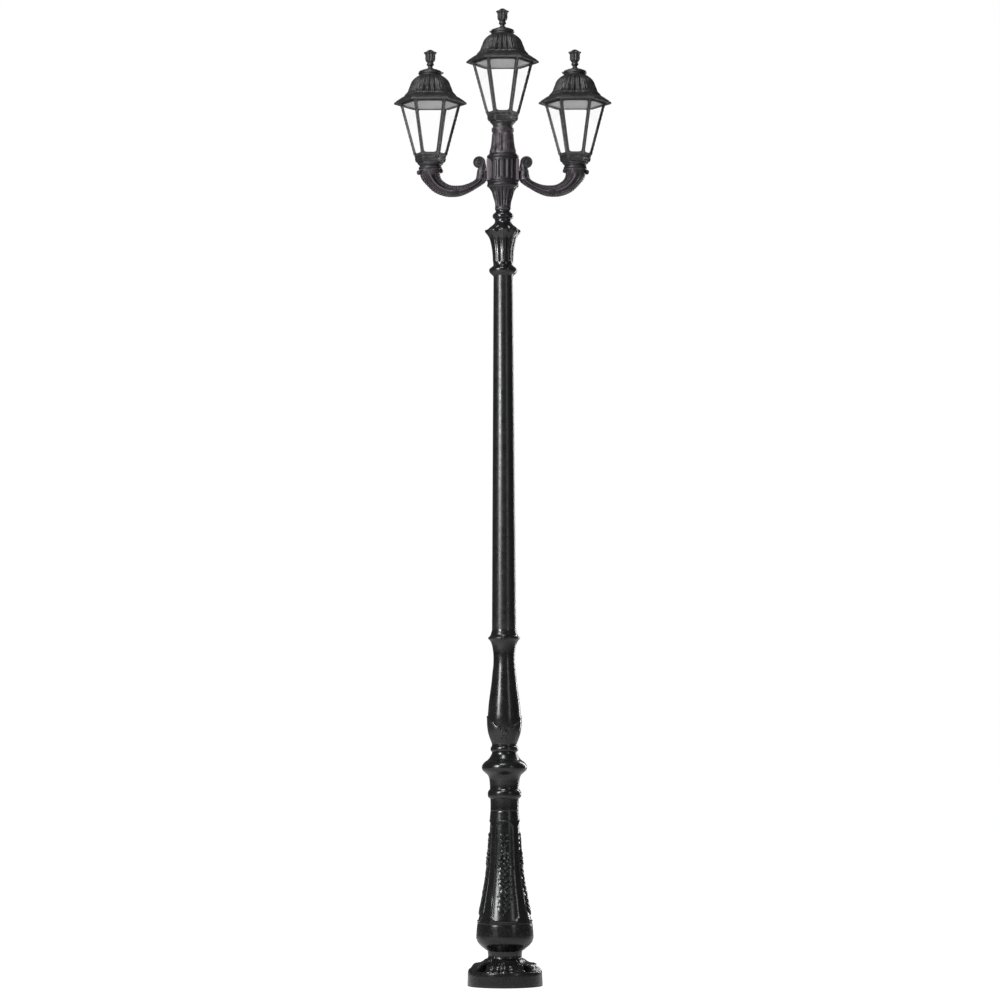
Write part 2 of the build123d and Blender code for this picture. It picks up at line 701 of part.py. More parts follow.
def cage_plane(inset):
    """Plane on the lower edge of the +Y side, INSET into the wall, with its y up the slope."""
    normal = Vector(0, math.cos(CAGE_LEAN), -math.sin(CAGE_LEAN))
    edge = Vector(0, CAGE_R * math.cos(math.pi / 6), Z_CAGE)
    return Plane(edge - normal * inset, x_dir=(-1, 0, 0), z_dir=normal)


def side_trapezoid(low, high, margin):
    """Corners of a flat outline up one side from LOW to HIGH, MARGIN in from the ribs' edges."""
    widen = (CAGE_TOP_R - CAGE_R) / 2 / SIDE_LENGTH
    foot, head = [CAGE_R / 2 + widen * v - margin for v in (low, high)]
    return [Vector(-foot, low), Vector(foot, low), Vector(head, high), Vector(-head, high)]


def rounded(corners, radius):
    """Outline with each corner turned in three points on its rounding."""
    points = []
    for i, corner in enumerate(corners):
        before = (corners[i - 1] - corner).normalized()
        after = (corners[(i + 1) % len(corners)] - corner).normalized()
        points.append(corner + before * radius)
        points.append(corner + (before + after) * (0.29 * radius))
        points.append(corner + after * radius)
    return points


def cage_inside(z, inset):
    """Corner radius of the cage at lantern height Z, INSET square to its sides."""
    outer = CAGE_R + (CAGE_TOP_R - CAGE_R) * (z - Z_CAGE) / CAGE_H
    return outer - inset / math.cos(CAGE_LEAN) / math.cos(math.pi / 6)


def cage():
    """Six-sided cage with a round-cornered window in each side and angled ribs at the corners."""
    shell = ruled([(Z_CAGE, hexagon(CAGE_R)), (Z_TRAY, hexagon(CAGE_TOP_R))])
    shell -= ruled([(z, hexagon(cage_inside(z, CAGE_WALL))) for z in (Z_CAGE - 1.0, Z_TRAY + 1.0)])
    outline = rounded(side_trapezoid(RAIL_LOW, SIDE_LENGTH - RAIL_TOP, RIB_W), WINDOW_CORNER)
    window = extrude(cage_plane(CAGE_WALL + 4.0) * Face(Wire.make_polygon(outline)), CAGE_WALL + 8.0)
    for i in range(6):
        shell -= Rot(0, 0, 60 * i) * window
    return shell


def cage_panes():
    """Six flat panes behind the windows, standing on the base."""
    inset = CAGE_WALL + LIFT_GAP
    low = (inset + PANE_T) * math.tan(CAGE_LEAN) + LIFT_GAP
    high = SIDE_LENGTH - RAIL_TOP + PANE_LAP
    margin = (inset + PANE_T) * math.tan(math.pi / 6) + LIFT_GAP
    outline = Wire.make_polygon(side_trapezoid(low, high, margin))
    pane = extrude(cage_plane(inset) * Face(outline), -PANE_T)
    return Compound([(Rot(0, 0, 60 * i) * pane).solid() for i in range(6)])


def light_tray():
    """Plate that closes the cage's top, with the long stud that clamps the roof."""
    return prism(hexagon(CAGE_TOP_R), Z_TRAY, Z_GASKET) + tube(STUD_R, Z_TRAY, Z_TRAY + STUD_H)


def roof_gasket():
    """Flat six-sided seal under the roof's ledge."""
    inner_r = CAGE_TOP_R - GASKET_W
    seal = prism(hexagon(CAGE_TOP_R), Z_GASKET, Z_GASKET + GASKET_T)
    return seal - prism(hexagon(inner_r), Z_GASKET - 1.0, Z_LEDGE)


def led_board():
    """Thin board on the tray's underside."""
    return prism(hexagon(BOARD_R), Z_TRAY - BOARD_T, Z_TRAY)


def diffuser():
    """Pale ceiling plate inside the panes, hung from the tray by three short posts."""
    low, high = Z_TRAY - DIFFUSER_DROP, Z_TRAY - DIFFUSER_DROP + DIFFUSER_T
    corner = cage_inside(low, CAGE_WALL + LIFT_GAP + PANE_T + LIFT_GAP)
    plate = prism(hexagon(corner), low, high)
    for i in range(3):
        angle = math.radians(30.0 + 120.0 * i)
        spot = Pos(POST_PCD / 2 * math.cos(angle), POST_PCD / 2 * math.sin(angle), 0)
        plate += spot * prism(rounds(4, POST_R), low + 1.0, Z_TRAY)
    return plate


def roof_ring(corner_r, rise):
    """Six-sided ring with GADROONS crests of height RISE along each side."""
    polar, steps = [], 2 * GADROONS
    for side in range(6):
        for i in range(steps):
            t = i / steps
            x = corner_r * (1.0 - t / 2.0)
            y = corner_r * t * math.sin(math.pi / 3)
            r = math.hypot(x, y) + rise * (i % 2)
            polar.append((60.0 * side + math.degrees(math.atan2(y, x)), r))
    return polar


def roof_shell():
    """Six-sided bell roof with gadroons, a plain border, a thick lip and a hollow underside."""
    border = [
        (ROOF_R, 0.0), (ROOF_R, ROOF_LIP_H), (ROOF_BORDER_R, 0.55 * ROOF_BELL_Z), (ROOF_BELL_R, ROOF_BELL_Z),
    ]
    bell = sampled([
        (ROOF_BELL_R, ROOF_BELL_Z - 3.0),
        (ROOF_BELL_R, ROOF_BELL_Z),
        (ROOF_SHOULDER_R, ROOF_SHOULDER_Z),
        (ROOF_TOP_R, ROOF_H, 6.5),
    ], 2)
    body = ruled([(Z_LIP + h, hexagon(r)) for r, h in border])
    body += ruled([(Z_LIP + h, roof_ring(r, GADROON_RISE if h < ROOF_H else 0.0)) for r, h in bell])
    ledge = Z_LEDGE - Z_LIP
    inner_r = CAGE_TOP_R - GASKET_W
    skirt = [(ROOF_R - 1.5, -0.5), (ROOF_SKIRT_R, 0.65 * ledge), (ROOF_SKIRT_R, ledge)]
    inside = [
        (inner_r, ledge - 1.0),
        (inner_r, ledge + 3.0),
        (ROOF_BELL_R - ROOF_WALL, ROOF_BELL_Z),
        (ROOF_SHOULDER_R - ROOF_WALL - 1.0, ROOF_SHOULDER_Z - 4.0),
        (ROOF_TOP_R - ROOF_WALL, ROOF_H - ROOF_TOP_T),
    ]
    for cut in (skirt, inside):
        body -= ruled([(Z_LIP + h, hexagon(r)) for r, h in cut])
    return bored(body, STUD_HOLE_R, Z_CAP - ROOF_TOP_T, Z_CAP)


def cap_screw_place(side):
    """Outward-pointing place of the cap's locking screw."""
    return Location(Plane((side * 0.97 * CAP_R, 0, Z_CAP + 0.5 * CAP_H), z_dir=(side, 0, 0)))


def vent_cap(side):
    """Low round cap on the roof's top, bored for the stud and for its locking screw."""
    outline = [(0.93 * CAP_R, 0.0), (CAP_R, 0.34 * CAP_H), (0.95 * CAP_R, 0.68 * CAP_H), (CAP_TOP_R, CAP_H)]
    cap = ruled([(Z_CAP + h, rounds(9, r)) for r, h in outline])
    cap = bored(cap, STUD_HOLE_R, Z_CAP, Z_CAP + CAP_H)
    return cap - cap_screw_place(side) * prism(hexagon(CAP_SCREW_R - 1.0), -14.0, 4.0)


def cap_screw(side):
    """Locking screw that stands out of the cap's side."""
    head = prism(hexagon(CAP_SCREW_R), 1.5, CAP_SCREW_H)
    return cap_screw_place(side) * (head + prism(hexagon(CAP_SCREW_R - 1.4), -12.0, 2.0))


def finial():
    """Tulip finial with upright petals and a blind bore for the stud."""
    outline = [
        (FINIAL_FOOT_R, 0.0),
        (FINIAL_FOOT_R, 4.0),
        (FINIAL_NECK_R, 10.5),
        (FINIAL_BEAD_R, 17.0),
        (FINIAL_BEAD_R - 1.5, 24.0),
        (FINIAL_TULIP_R, 35.0),
        (FINIAL_TULIP_R, 50.0),
        (FINIAL_CROWN_R, FINIAL_H - 11.5),
        (FINIAL_CROWN_R, FINIAL_H - 7.0),
        (0.4 * FINIAL_CROWN_R, FINIAL_H),
    ]
    levels = []
    for r, h in outline:
        dip = 0.12 * r if h > 30.0 else 0.0
        levels.append((Z_FINIAL + h, rounds(FINIAL_PETALS, r, dip)))
    return ruled(levels) - clear_hole(STUD_R + LIFT_GAP, Z_FINIAL - 1.0, Z_FINIAL + FINIAL_BORE_DEPTH)


# ------------------------------------------------------------------ the whole
def assemble():
    """Every piece in its place, by name."""
    pieces = {
        "base_foot": base_foot(),
        "core_tube": core_tube(),
        "base_rosette": base_rosette(),
        "base_vase": base_vase(),
        "knop": knop(),
        "baluster": baluster(),
        "shaft_tube": shaft_tube(),
        "capital": capital(),
        "hub_foot": hub_foot(),
        "hub_drum": hub_drum(),
        "hub_head": hub_head(),
        "arm_screws": arm_screws(),
        "arm_right": right_arm(),
    }
    pieces["arm_left"] = mirror(pieces["arm_right"], Plane.YZ)
    shared = {
        "cage": cage(),
        "cage_panes": cage_panes(),
        "light_tray": light_tray(),
        "roof_gasket": roof_gasket(),
        "led_board": led_board(),
        "diffuser": diffuser(),
        "roof_shell": roof_shell(),
        "finial": finial(),
    }
    sites = (
        ("left", -ARM_REACH, Z_SIDE_CUP, SIDE_NECK_H, NIPPLE_R, SIDE_NUT_R, 1),
        ("centre", 0.0, Z_CENTRE_CUP, CENTRE_NECK_H, CORE_R, CORE_NUT_R, -1),
        ("right", ARM_REACH, Z_SIDE_CUP, SIDE_NECK_H, NIPPLE_R, SIDE_NUT_R, -1),
    )
    for name, x, z, neck_h, pipe_r, nut_r, screw_side in sites:
        own = dict(shared)
        own["lantern_base"] = lantern_base(neck_h, pipe_r + FIT)
        own["lock_nut"] = nut(nut_r, pipe_r, -CAVITY_SUNK)
        own["vent_cap"] = vent_cap(screw_side)
        own["cap_screw"] = cap_screw(screw_side)
        for part, solid in own.items():
            pieces[f"{part}_{name}"] = Pos(x, 0, z) * solid
    return pieces


os.makedirs("parts", exist_ok=True)
for name, piece in assemble().items():
    export_step(piece, f"parts/{name}.step")
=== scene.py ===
"""Triple head lamp post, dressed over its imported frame.

Every form is a closed surface on a grid of two parameters: a profile turned round an axis, with a
relief added to its radius, or a section carried along a path. Sizes are in millimetres and turn
into metres where a mesh is made. The front faces -Y and the arms run along X.
"""

import logging
import math
from dataclasses import dataclass
from enum import Enum
from typing import Callable, Sequence

import bpy
import numpy as np
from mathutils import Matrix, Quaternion, Vector


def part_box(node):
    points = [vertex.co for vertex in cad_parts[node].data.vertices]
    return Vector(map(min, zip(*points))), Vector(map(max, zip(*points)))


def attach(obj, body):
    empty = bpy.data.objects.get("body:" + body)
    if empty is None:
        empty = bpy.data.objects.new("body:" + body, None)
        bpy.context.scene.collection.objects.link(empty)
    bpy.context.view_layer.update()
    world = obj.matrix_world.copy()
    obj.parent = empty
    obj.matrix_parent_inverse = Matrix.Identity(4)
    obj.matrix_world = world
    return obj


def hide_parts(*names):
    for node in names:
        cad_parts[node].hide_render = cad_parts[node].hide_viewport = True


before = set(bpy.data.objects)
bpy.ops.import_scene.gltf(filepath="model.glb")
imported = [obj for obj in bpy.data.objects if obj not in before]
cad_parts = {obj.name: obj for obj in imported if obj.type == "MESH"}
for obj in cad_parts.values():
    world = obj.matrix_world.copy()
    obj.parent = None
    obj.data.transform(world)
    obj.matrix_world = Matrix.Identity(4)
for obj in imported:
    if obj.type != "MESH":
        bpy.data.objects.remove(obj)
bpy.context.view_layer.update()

LOG = logging.getLogger("lamp_post")
MM = 0.001
TURN = 2.0 * math.pi
Array = np.ndarray
Socket = bpy.types.NodeSocket
Piece = bpy.types.Object
Relief = Callable[[Array, Array, Array], tuple]

SHARP_EDGE = 30.0     # crease angles in degrees, for cut, cast and finely carved pieces
CAST_EDGE = 38.0
CARVED_EDGE = 46.0
CLOUD_STOPS = (0.36, 0.64)     # where the noise of a paint's clouds turns from deep to light
EDGE_WEAR_AND_HIGHLIGHT_SPAN = (0.515, 0.61)     # Pointiness from a plain surface to an edge paled fully, partly by wear and partly as a painted highlight
EDGE_WEAR_AND_HIGHLIGHT_SHARE = 0.75
NOISE_SPAN = (0.3, 0.7)     # where most of a noise lies


# ---------------------------------------------------------------- numbers
def smooth(x: Array) -> Array:
    """Smooth step: 3t^2 - 2t^3 with t held between 0 and 1."""
    t = np.clip(x, 0.0, 1.0)
    return t * t * (3.0 - 2.0 * t)


def hump(x: Array, width: float) -> Array:
    """Bell of height 1 at x = 0: e to the minus (x / width) squared."""
    return np.exp(-(x / width) ** 2)


def lobes(angle: Array, count: int) -> Array:
    """Row of COUNT round lobes, 0 in the valleys and 1 on the crests: |sin(count * angle / 2)|."""
    return np.abs(np.sin(0.5 * count * angle))


def low_z(node: str) -> float:
    """Height of a node's underside in millimetres."""
    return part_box(node)[0].z / MM


def flowing(knots: Sequence[tuple], per: int = 8) -> Array:
    """Smooth curve through knots, with a corner at each knot that ends in "sharp".

    Each stretch is a cubic Hermite curve whose end slopes are the mean direction of the chords on
    both sides of the knot, or the stretch's own chord at a corner, times the stretch's length.

    Args:
        knots: points of two or three numbers, each with the word "sharp" after them or not.
        per: steps on each stretch.

    Returns:
        Points of the curve, one row each.
    """
    sharp = np.array([knot[-1] == "sharp" for knot in knots])
    points = np.array([[v for v in knot if v != "sharp"] for knot in knots], float)
    chord = np.diff(points, axis=0)
    length = np.linalg.norm(chord, axis=1, keepdims=True)
    unit = chord / length
    mean = unit[:-1] + unit[1:]
    mean /= np.linalg.norm(mean, axis=1, keepdims=True)
    corner = sharp[1:-1, None]
    start, end = unit.copy(), unit.copy()
    start[1:] = np.where(corner, unit[1:], mean)
    end[:-1] = np.where(corner, unit[:-1], mean)
    t = (np.arange(per) / per)[None, :, None]
    curve = (
        (2 * t**3 - 3 * t**2 + 1) * points[:-1, None]
        + (t**3 - 2 * t**2 + t) * (length * start)[:, None]
        + (3 * t**2 - 2 * t**3) * points[1:, None]
        + (t**3 - t**2) * (length * end)[:, None]
    )
    return np.vstack([curve.reshape(-1, points.shape[1]), points[-1:]])


def even(profile: Array, step: float) -> Array:
    """Profile with each chord parted into equal steps near STEP long.

    Args:
        profile: points, one row each.
        step: wanted length of a step.

    Returns:
        The parted profile, which still holds every point of the old one.
    """
    chord = np.linalg.norm(np.diff(profile, axis=0), axis=1)
    parts = np.maximum(np.rint(chord / step), 1.0).astype(int)
    first = np.repeat(np.arange(len(chord)), parts)
    share = (np.arange(parts.sum()) - np.repeat(np.cumsum(parts) - parts, parts)) / np.repeat(parts, parts)
    points = profile[first] + (profile[first + 1] - profile[first]) * share[:, None]
    return np.vstack([points, profile[-1:]])


def six_sided(angle: Array, share: Array) -> Array:
    """Radius factor of a ring that turns from a circle to a hexagon with corners at 0 degrees.

    A straight side's factor is cos 30 / cos of the angle from its middle.

    Args:
        angle: angles round the axis.
        share: 0 for the circle, 1 for the hexagon.

    Returns:
        The factor at each angle.
    """
    from_middle = np.mod(angle, TURN / 6) - TURN / 12
    return 1.0 + share * (math.cos(TURN / 12) / np.cos(from_middle) - 1.0)


def turned(profile: Array, count: int, relief: Relief | None = None, centre: tuple = (0.0, 0.0)) -> Array:
    """Grid of a profile turned about an upright axis.

    x = r cos a, y = r sin a, z = z, where the relief adds to r and z and is a function of the
    angle a, the height z and the radius r.

    Args:
        profile: (r, z) rows.
        count: steps round the axis.
        relief: gives (dr, dz) on the grid, or None.
        centre: x and y of the axis.

    Returns:
        Points as rows x count x 3.
    """
    angle = np.broadcast_to(np.arange(count) * TURN / count, (len(profile), count))
    r = np.repeat(profile[:, :1], count, axis=1)
    z = np.repeat(profile[:, 1:2], count, axis=1)
    if relief:
        dr, dz = relief(angle, z, r)
        r, z = r + dr, z + dz
    return np.stack([centre[0] + r * np.cos(angle), centre[1] + r * np.sin(angle), z], axis=-1)


def carried(path: Array, widths: Array, depths: Array, outline: Array) -> Array:
    """Grid of an outline carried along a path in the XZ plane.

    A point is path + across * u * width + Y * v * depth, where (u, v) are the outline's points and
    across is the path's direction turned a quarter in its plane.

    Args:
        path: (x, z) rows.
        widths: half width at each row.
        depths: half depth at each row.
        outline: (u, v) of the section's points.

    Returns:
        Points as rows x steps x 3.
    """
    along = np.gradient(path, axis=0)
    along /= np.linalg.norm(along, axis=1, keepdims=True)
    across = np.stack([along[:, 1], -along[:, 0]], axis=1)
    u, v = outline[..., 0], outline[..., 1]
    x = path[:, :1] + across[:, :1] * u * widths[:, None]
    z = path[:, 1:2] + across[:, 1:2] * u * widths[:, None]
    y = np.broadcast_to(v * depths[:, None], x.shape)
    return np.stack([x, y, z], axis=-1)


def superellipse(count: int, power: float) -> Array:
    """Closed outline (u, v) with |u|^p + |v|^p = 1: each is a signed power 2/p of cos and sin.

    Args:
        count: points round the outline.
        power: p, 2 for a circle and more for a squarer outline.

    Returns:
        (u, v) rows.
    """
    a = np.arange(count) * TURN / count
    u, v = np.cos(a), np.sin(a)
    return np.stack([np.sign(u) * np.abs(u) ** (2 / power), np.sign(v) * np.abs(v) ** (2 / power)], axis=1)


def lying(grid: Array, x: float, z: float, size: float = 1.0) -> Array:
    """Grid turned about an upright axis, laid so that its axis runs along Y through (x, z)."""
    return np.stack([x + size * grid[..., 0], grid[..., 2], z + size * grid[..., 1]], axis=-1)


# ---------------------------------------------------------------- finishes
class NodeBoard:
    """Small helper that adds shader nodes and joins them."""

    def __init__(self, name: str) -> None:
        """Starts an empty material with a Principled shader and Object coordinates.

        Args:
            name: the material's name.
        """
        self.material = bpy.data.materials.new(name)
        self.material.use_nodes = True
        self.tree = self.material.node_tree
        self.shader = self.tree.nodes["Principled BSDF"]
        self.place = self.tree.nodes.new("ShaderNodeTexCoord").outputs["Object"]

    def set(self, **values: object) -> None:
        """Sets the shader's own sockets, named with _ for a space."""
        for key, value in values.items():
            self.shader.inputs[key.replace("_", " ")].default_value = value

    def join(self, output: Socket, socket: str) -> None:
        """Joins an output to one of the shader's sockets."""
        self.tree.links.new(output, self.shader.inputs[socket])

    def noise(self, size_mm: float, detail: float = 3.0, stretch: tuple | None = None) -> Socket:
        """Noise in Object coordinates.

        Args:
            size_mm: how wide a cell is, about.
            detail: the noise's detail.
            stretch: scale of each axis, for a grain drawn out along one of them.

        Returns:
            The noise, around a half.
        """
        node = self.tree.nodes.new("ShaderNodeTexNoise")
        node.inputs["Scale"].default_value = 1000.0 / size_mm
        node.inputs["Detail"].default_value = detail
        source = self.place
        if stretch:
            mapping = self.tree.nodes.new("ShaderNodeMapping")
            mapping.inputs["Scale"].default_value = stretch
            self.tree.links.new(source, mapping.inputs["Vector"])
            source = mapping.outputs["Vector"]
        self.tree.links.new(source, node.inputs["Vector"])
        return node.outputs["Fac"]

    def ramp(self, value: Socket, stops: Sequence[tuple]) -> Socket:
        """Colour ramp.

        Args:
            value: where along the ramp.
            stops: (position, (r, g, b)) rows.

        Returns:
            The colour.
        """
        node = self.tree.nodes.new("ShaderNodeValToRGB")
        elements = node.color_ramp.elements
        while len(elements) < len(stops):
            elements.new(0.5)
        for element, (position, colour) in zip(elements, stops):
            element.position = position
            element.color = (*colour, 1.0)
        self.tree.links.new(value, node.inputs["Fac"])
        return node.outputs["Color"]

    def ranged(self, value: Socket, span: tuple, result: tuple) -> Socket:
        """Value moved from one span to another.

        Args:
            value: the value.
            span: its low and high ends.
            result: what they become.

        Returns:
            The moved value, held inside the new span.
        """
        node = self.tree.nodes.new("ShaderNodeMapRange")
        for name, number in zip(("From Min", "From Max", "To Min", "To Max"), (*span, *result)):
            node.inputs[name].default_value = number
        self.tree.links.new(value, node.inputs["Value"])
        return node.outputs["Result"]

    def mixed(self, share: Socket, first: Socket, second: tuple) -> Socket:
        """Blend of two colours.

        Args:
            share: share of the second colour.
            first: the first colour.
            second: the second colour, which is fixed.

        Returns:
            The blended colour.
        """
        node = self.tree.nodes.new("ShaderNodeMix")
        node.data_type = "RGBA"
        self.tree.links.new(share, node.inputs["Factor"])
        self.tree.links.new(first, node.inputs["A"])
        node.inputs["B"].default_value = (*second, 1.0)
        return node.outputs["Result"]

    def bump(self, heights: Sequence[tuple]) -> None:
        """Chain of bumps, joined to the shader.

        Args:
            heights: (height, depth in millimetres, strength) rows.
        """
        normal = None
        for height, depth, strength in heights:
            node = self.tree.nodes.new("ShaderNodeBump")
            node.inputs["Distance"].default_value = depth * MM
            node.inputs["Strength"].default_value = strength
            self.tree.links.new(height, node.inputs["Height"])
            if normal:
                self.tree.links.new(normal, node.inputs["Normal"])
            normal = node.outputs["Normal"]
        self.join(normal, "Normal")


@dataclass(frozen=True)
class PaintedCasting:
    """Dark paint over a sand casting: two near tones in clouds, fine grain, and paler edges that are partly
    wear and partly a painted highlight.
    """

    name: str
    slot: str
    deep: tuple
    light: tuple
    # colour of the paler edges: partly paint wear, partly a painted highlight
    edge_wear_and_highlight: tuple
    gloss: tuple
    specular: float
    coat: float
    cloud_mm: float = 60.0
    grain_mm: float = 2.2
    grain_depth: float = 0.25
    dent_depth: float = 0.5

    def material(self) -> bpy.types.Material:
        """Builds the nodes.

        Returns:
            The material.
        """
        board = NodeBoard(self.name)
        cloud = board.noise(self.cloud_mm, 4.0)
        colour = board.ramp(cloud, tuple(zip(CLOUD_STOPS, (self.deep, self.light))))
        # convex edges are paled by Pointiness: partly wear, partly a painted highlight that stands in for
        # glints
        edge = board.tree.nodes.new("ShaderNodeNewGeometry").outputs["Pointiness"]
        edge_wear_and_highlight = board.ranged(edge, EDGE_WEAR_AND_HIGHLIGHT_SPAN, (0.0, EDGE_WEAR_AND_HIGHLIGHT_SHARE))
        board.join(board.mixed(edge_wear_and_highlight, colour, self.edge_wear_and_highlight), "Base Color")
        grain = board.noise(self.grain_mm, 2.0)
        dents = board.noise(self.grain_mm * 6.0, 2.0)
        board.join(board.ranged(dents, NOISE_SPAN, self.gloss), "Roughness")
        board.bump(((dents, self.dent_depth, 0.35), (grain, self.grain_depth, 0.5)))
        board.set(Specular_IOR_Level=self.specular, Coat_Weight=self.coat, Coat_Roughness=0.16)
        return board.material


@dataclass(frozen=True)
class ClearPane:
    """Clear glass with a faint dust in it."""

    name: str = "clear_pane"
    slot: str = "clear_glass"

    def material(self) -> bpy.types.Material:
        """Builds the nodes.

        Returns:
            The material.
        """
        board = NodeBoard(self.name)
        dust = board.noise(90.0, 2.0)
        board.join(board.ranged(dust, NOISE_SPAN, (0.0, 0.002)), "Roughness")
        board.set(Base_Color=(1.0, 1.0, 1.0, 1.0), Transmission_Weight=1.0, IOR=1.12)
        return board.material


@dataclass(frozen=True)
class PlainFinish:
    """Plain metal, plastic or rubber with a light mottle and grain."""

    name: str
    slot: str
    deep: tuple
    light: tuple
    gloss: tuple
    metallic: float = 0.0
    grain_mm: float = 1.5
    grain_depth: float = 0.1
    stretch: tuple | None = None

    def material(self) -> bpy.types.Material:
        """Builds the nodes.

        Returns:
            The material.
        """
        board = NodeBoard(self.name)
        cloud = board.noise(25.0, 4.0)
        board.join(board.ramp(cloud, ((0.35, self.deep), (0.65, self.light))), "Base Color")
        grain = board.noise(self.grain_mm, 3.0, self.stretch)
        board.join(board.ranged(grain, NOISE_SPAN, self.gloss), "Roughness")
        board.bump(((grain, self.grain_depth, 0.4),))
        board.set(Metallic=self.metallic)
        return board.material


class Finish(Enum):
    """The finishes on the post."""

    IRON = PaintedCasting(
        "iron_paint", "iron_black", (0.0035, 0.0038, 0.0042), (0.0075, 0.0074, 0.0078),
        (0.040, 0.042, 0.042), (0.18, 0.30), 0.45, 0.12, grain_depth=0.08, dent_depth=0.3,
    )
    STEEL = PaintedCasting(
        "shaft_paint", "steel_black", (0.0040, 0.0042, 0.0046), (0.0080, 0.0072, 0.0076),
        (0.020, 0.020, 0.021), (0.26, 0.38), 0.5, 0.0, grain_mm=2.6, grain_depth=0.09, dent_depth=0.3,
    )
    CAPITAL = PaintedCasting(
        "capital_paint", "cast_black", (0.0042, 0.0040, 0.0048), (0.0095, 0.0085, 0.0100),
        (0.045, 0.042, 0.045), (0.17, 0.28), 0.5, 0.12, grain_depth=0.08, dent_depth=0.3,
    )
    HUB = PaintedCasting(
        "hub_paint", "cast_charcoal", (0.0036, 0.0029, 0.0043), (0.0130, 0.0102, 0.0142),
        (0.190, 0.146, 0.174), (0.34, 0.54), 0.5, 0.0, 16.0, 2.0, 0.6, 1.0,
    )
    # Painted light: the same cast charcoal paint as HUB, made lighter because the head stands brighter in the
    # light than the drum
    HEAD = PaintedCasting(
        "hub_paint_lit_copy", "cast_charcoal", (0.0080, 0.0066, 0.0088), (0.0480, 0.0390, 0.0490),
        (0.210, 0.168, 0.195), (0.34, 0.54), 0.5, 0.0, 16.0, 2.0, 0.6, 1.0,
    )
    LANTERN = PaintedCasting(
        "lantern_paint", "lantern_grey", (0.0044, 0.0044, 0.0047), (0.0205, 0.0206, 0.0209),
        (0.130, 0.131, 0.132), (0.34, 0.52), 0.5, 0.0, 16.0, 1.8, 0.4, 0.8,
    )
    GLASS = ClearPane()
    # Painted shade: the pale ceiling plate is given a mid grey for the shade it sits in under the roof
    CEILING = PlainFinish(
        "ceiling_plate_shaded", "ceiling_white", (0.325, 0.325, 0.325), (0.37, 0.37, 0.37), (0.5, 0.6)
    )
    BOARD = PlainFinish("light_board", "led_board", (0.78, 0.78, 0.74), (0.84, 0.84, 0.80), (0.4, 0.5))
    SEAL = PlainFinish(
        "seal_black", "seal_rubber", (0.014, 0.014, 0.014), (0.024, 0.024, 0.024), (0.7, 0.85)
    )
    PLATED = PlainFinish(
        "plated_metal", "plated_steel", (0.50, 0.51, 0.52), (0.60, 0.61, 0.62), (0.26, 0.4), 1.0, 1.2, 0.05,
        (1.0, 1.0, 0.15),
    )

    def look(self) -> bpy.types.Material:
        """The finish's material, made once."""
        known = bpy.data.materials.get(self.value.name)
        return known or self.value.material()


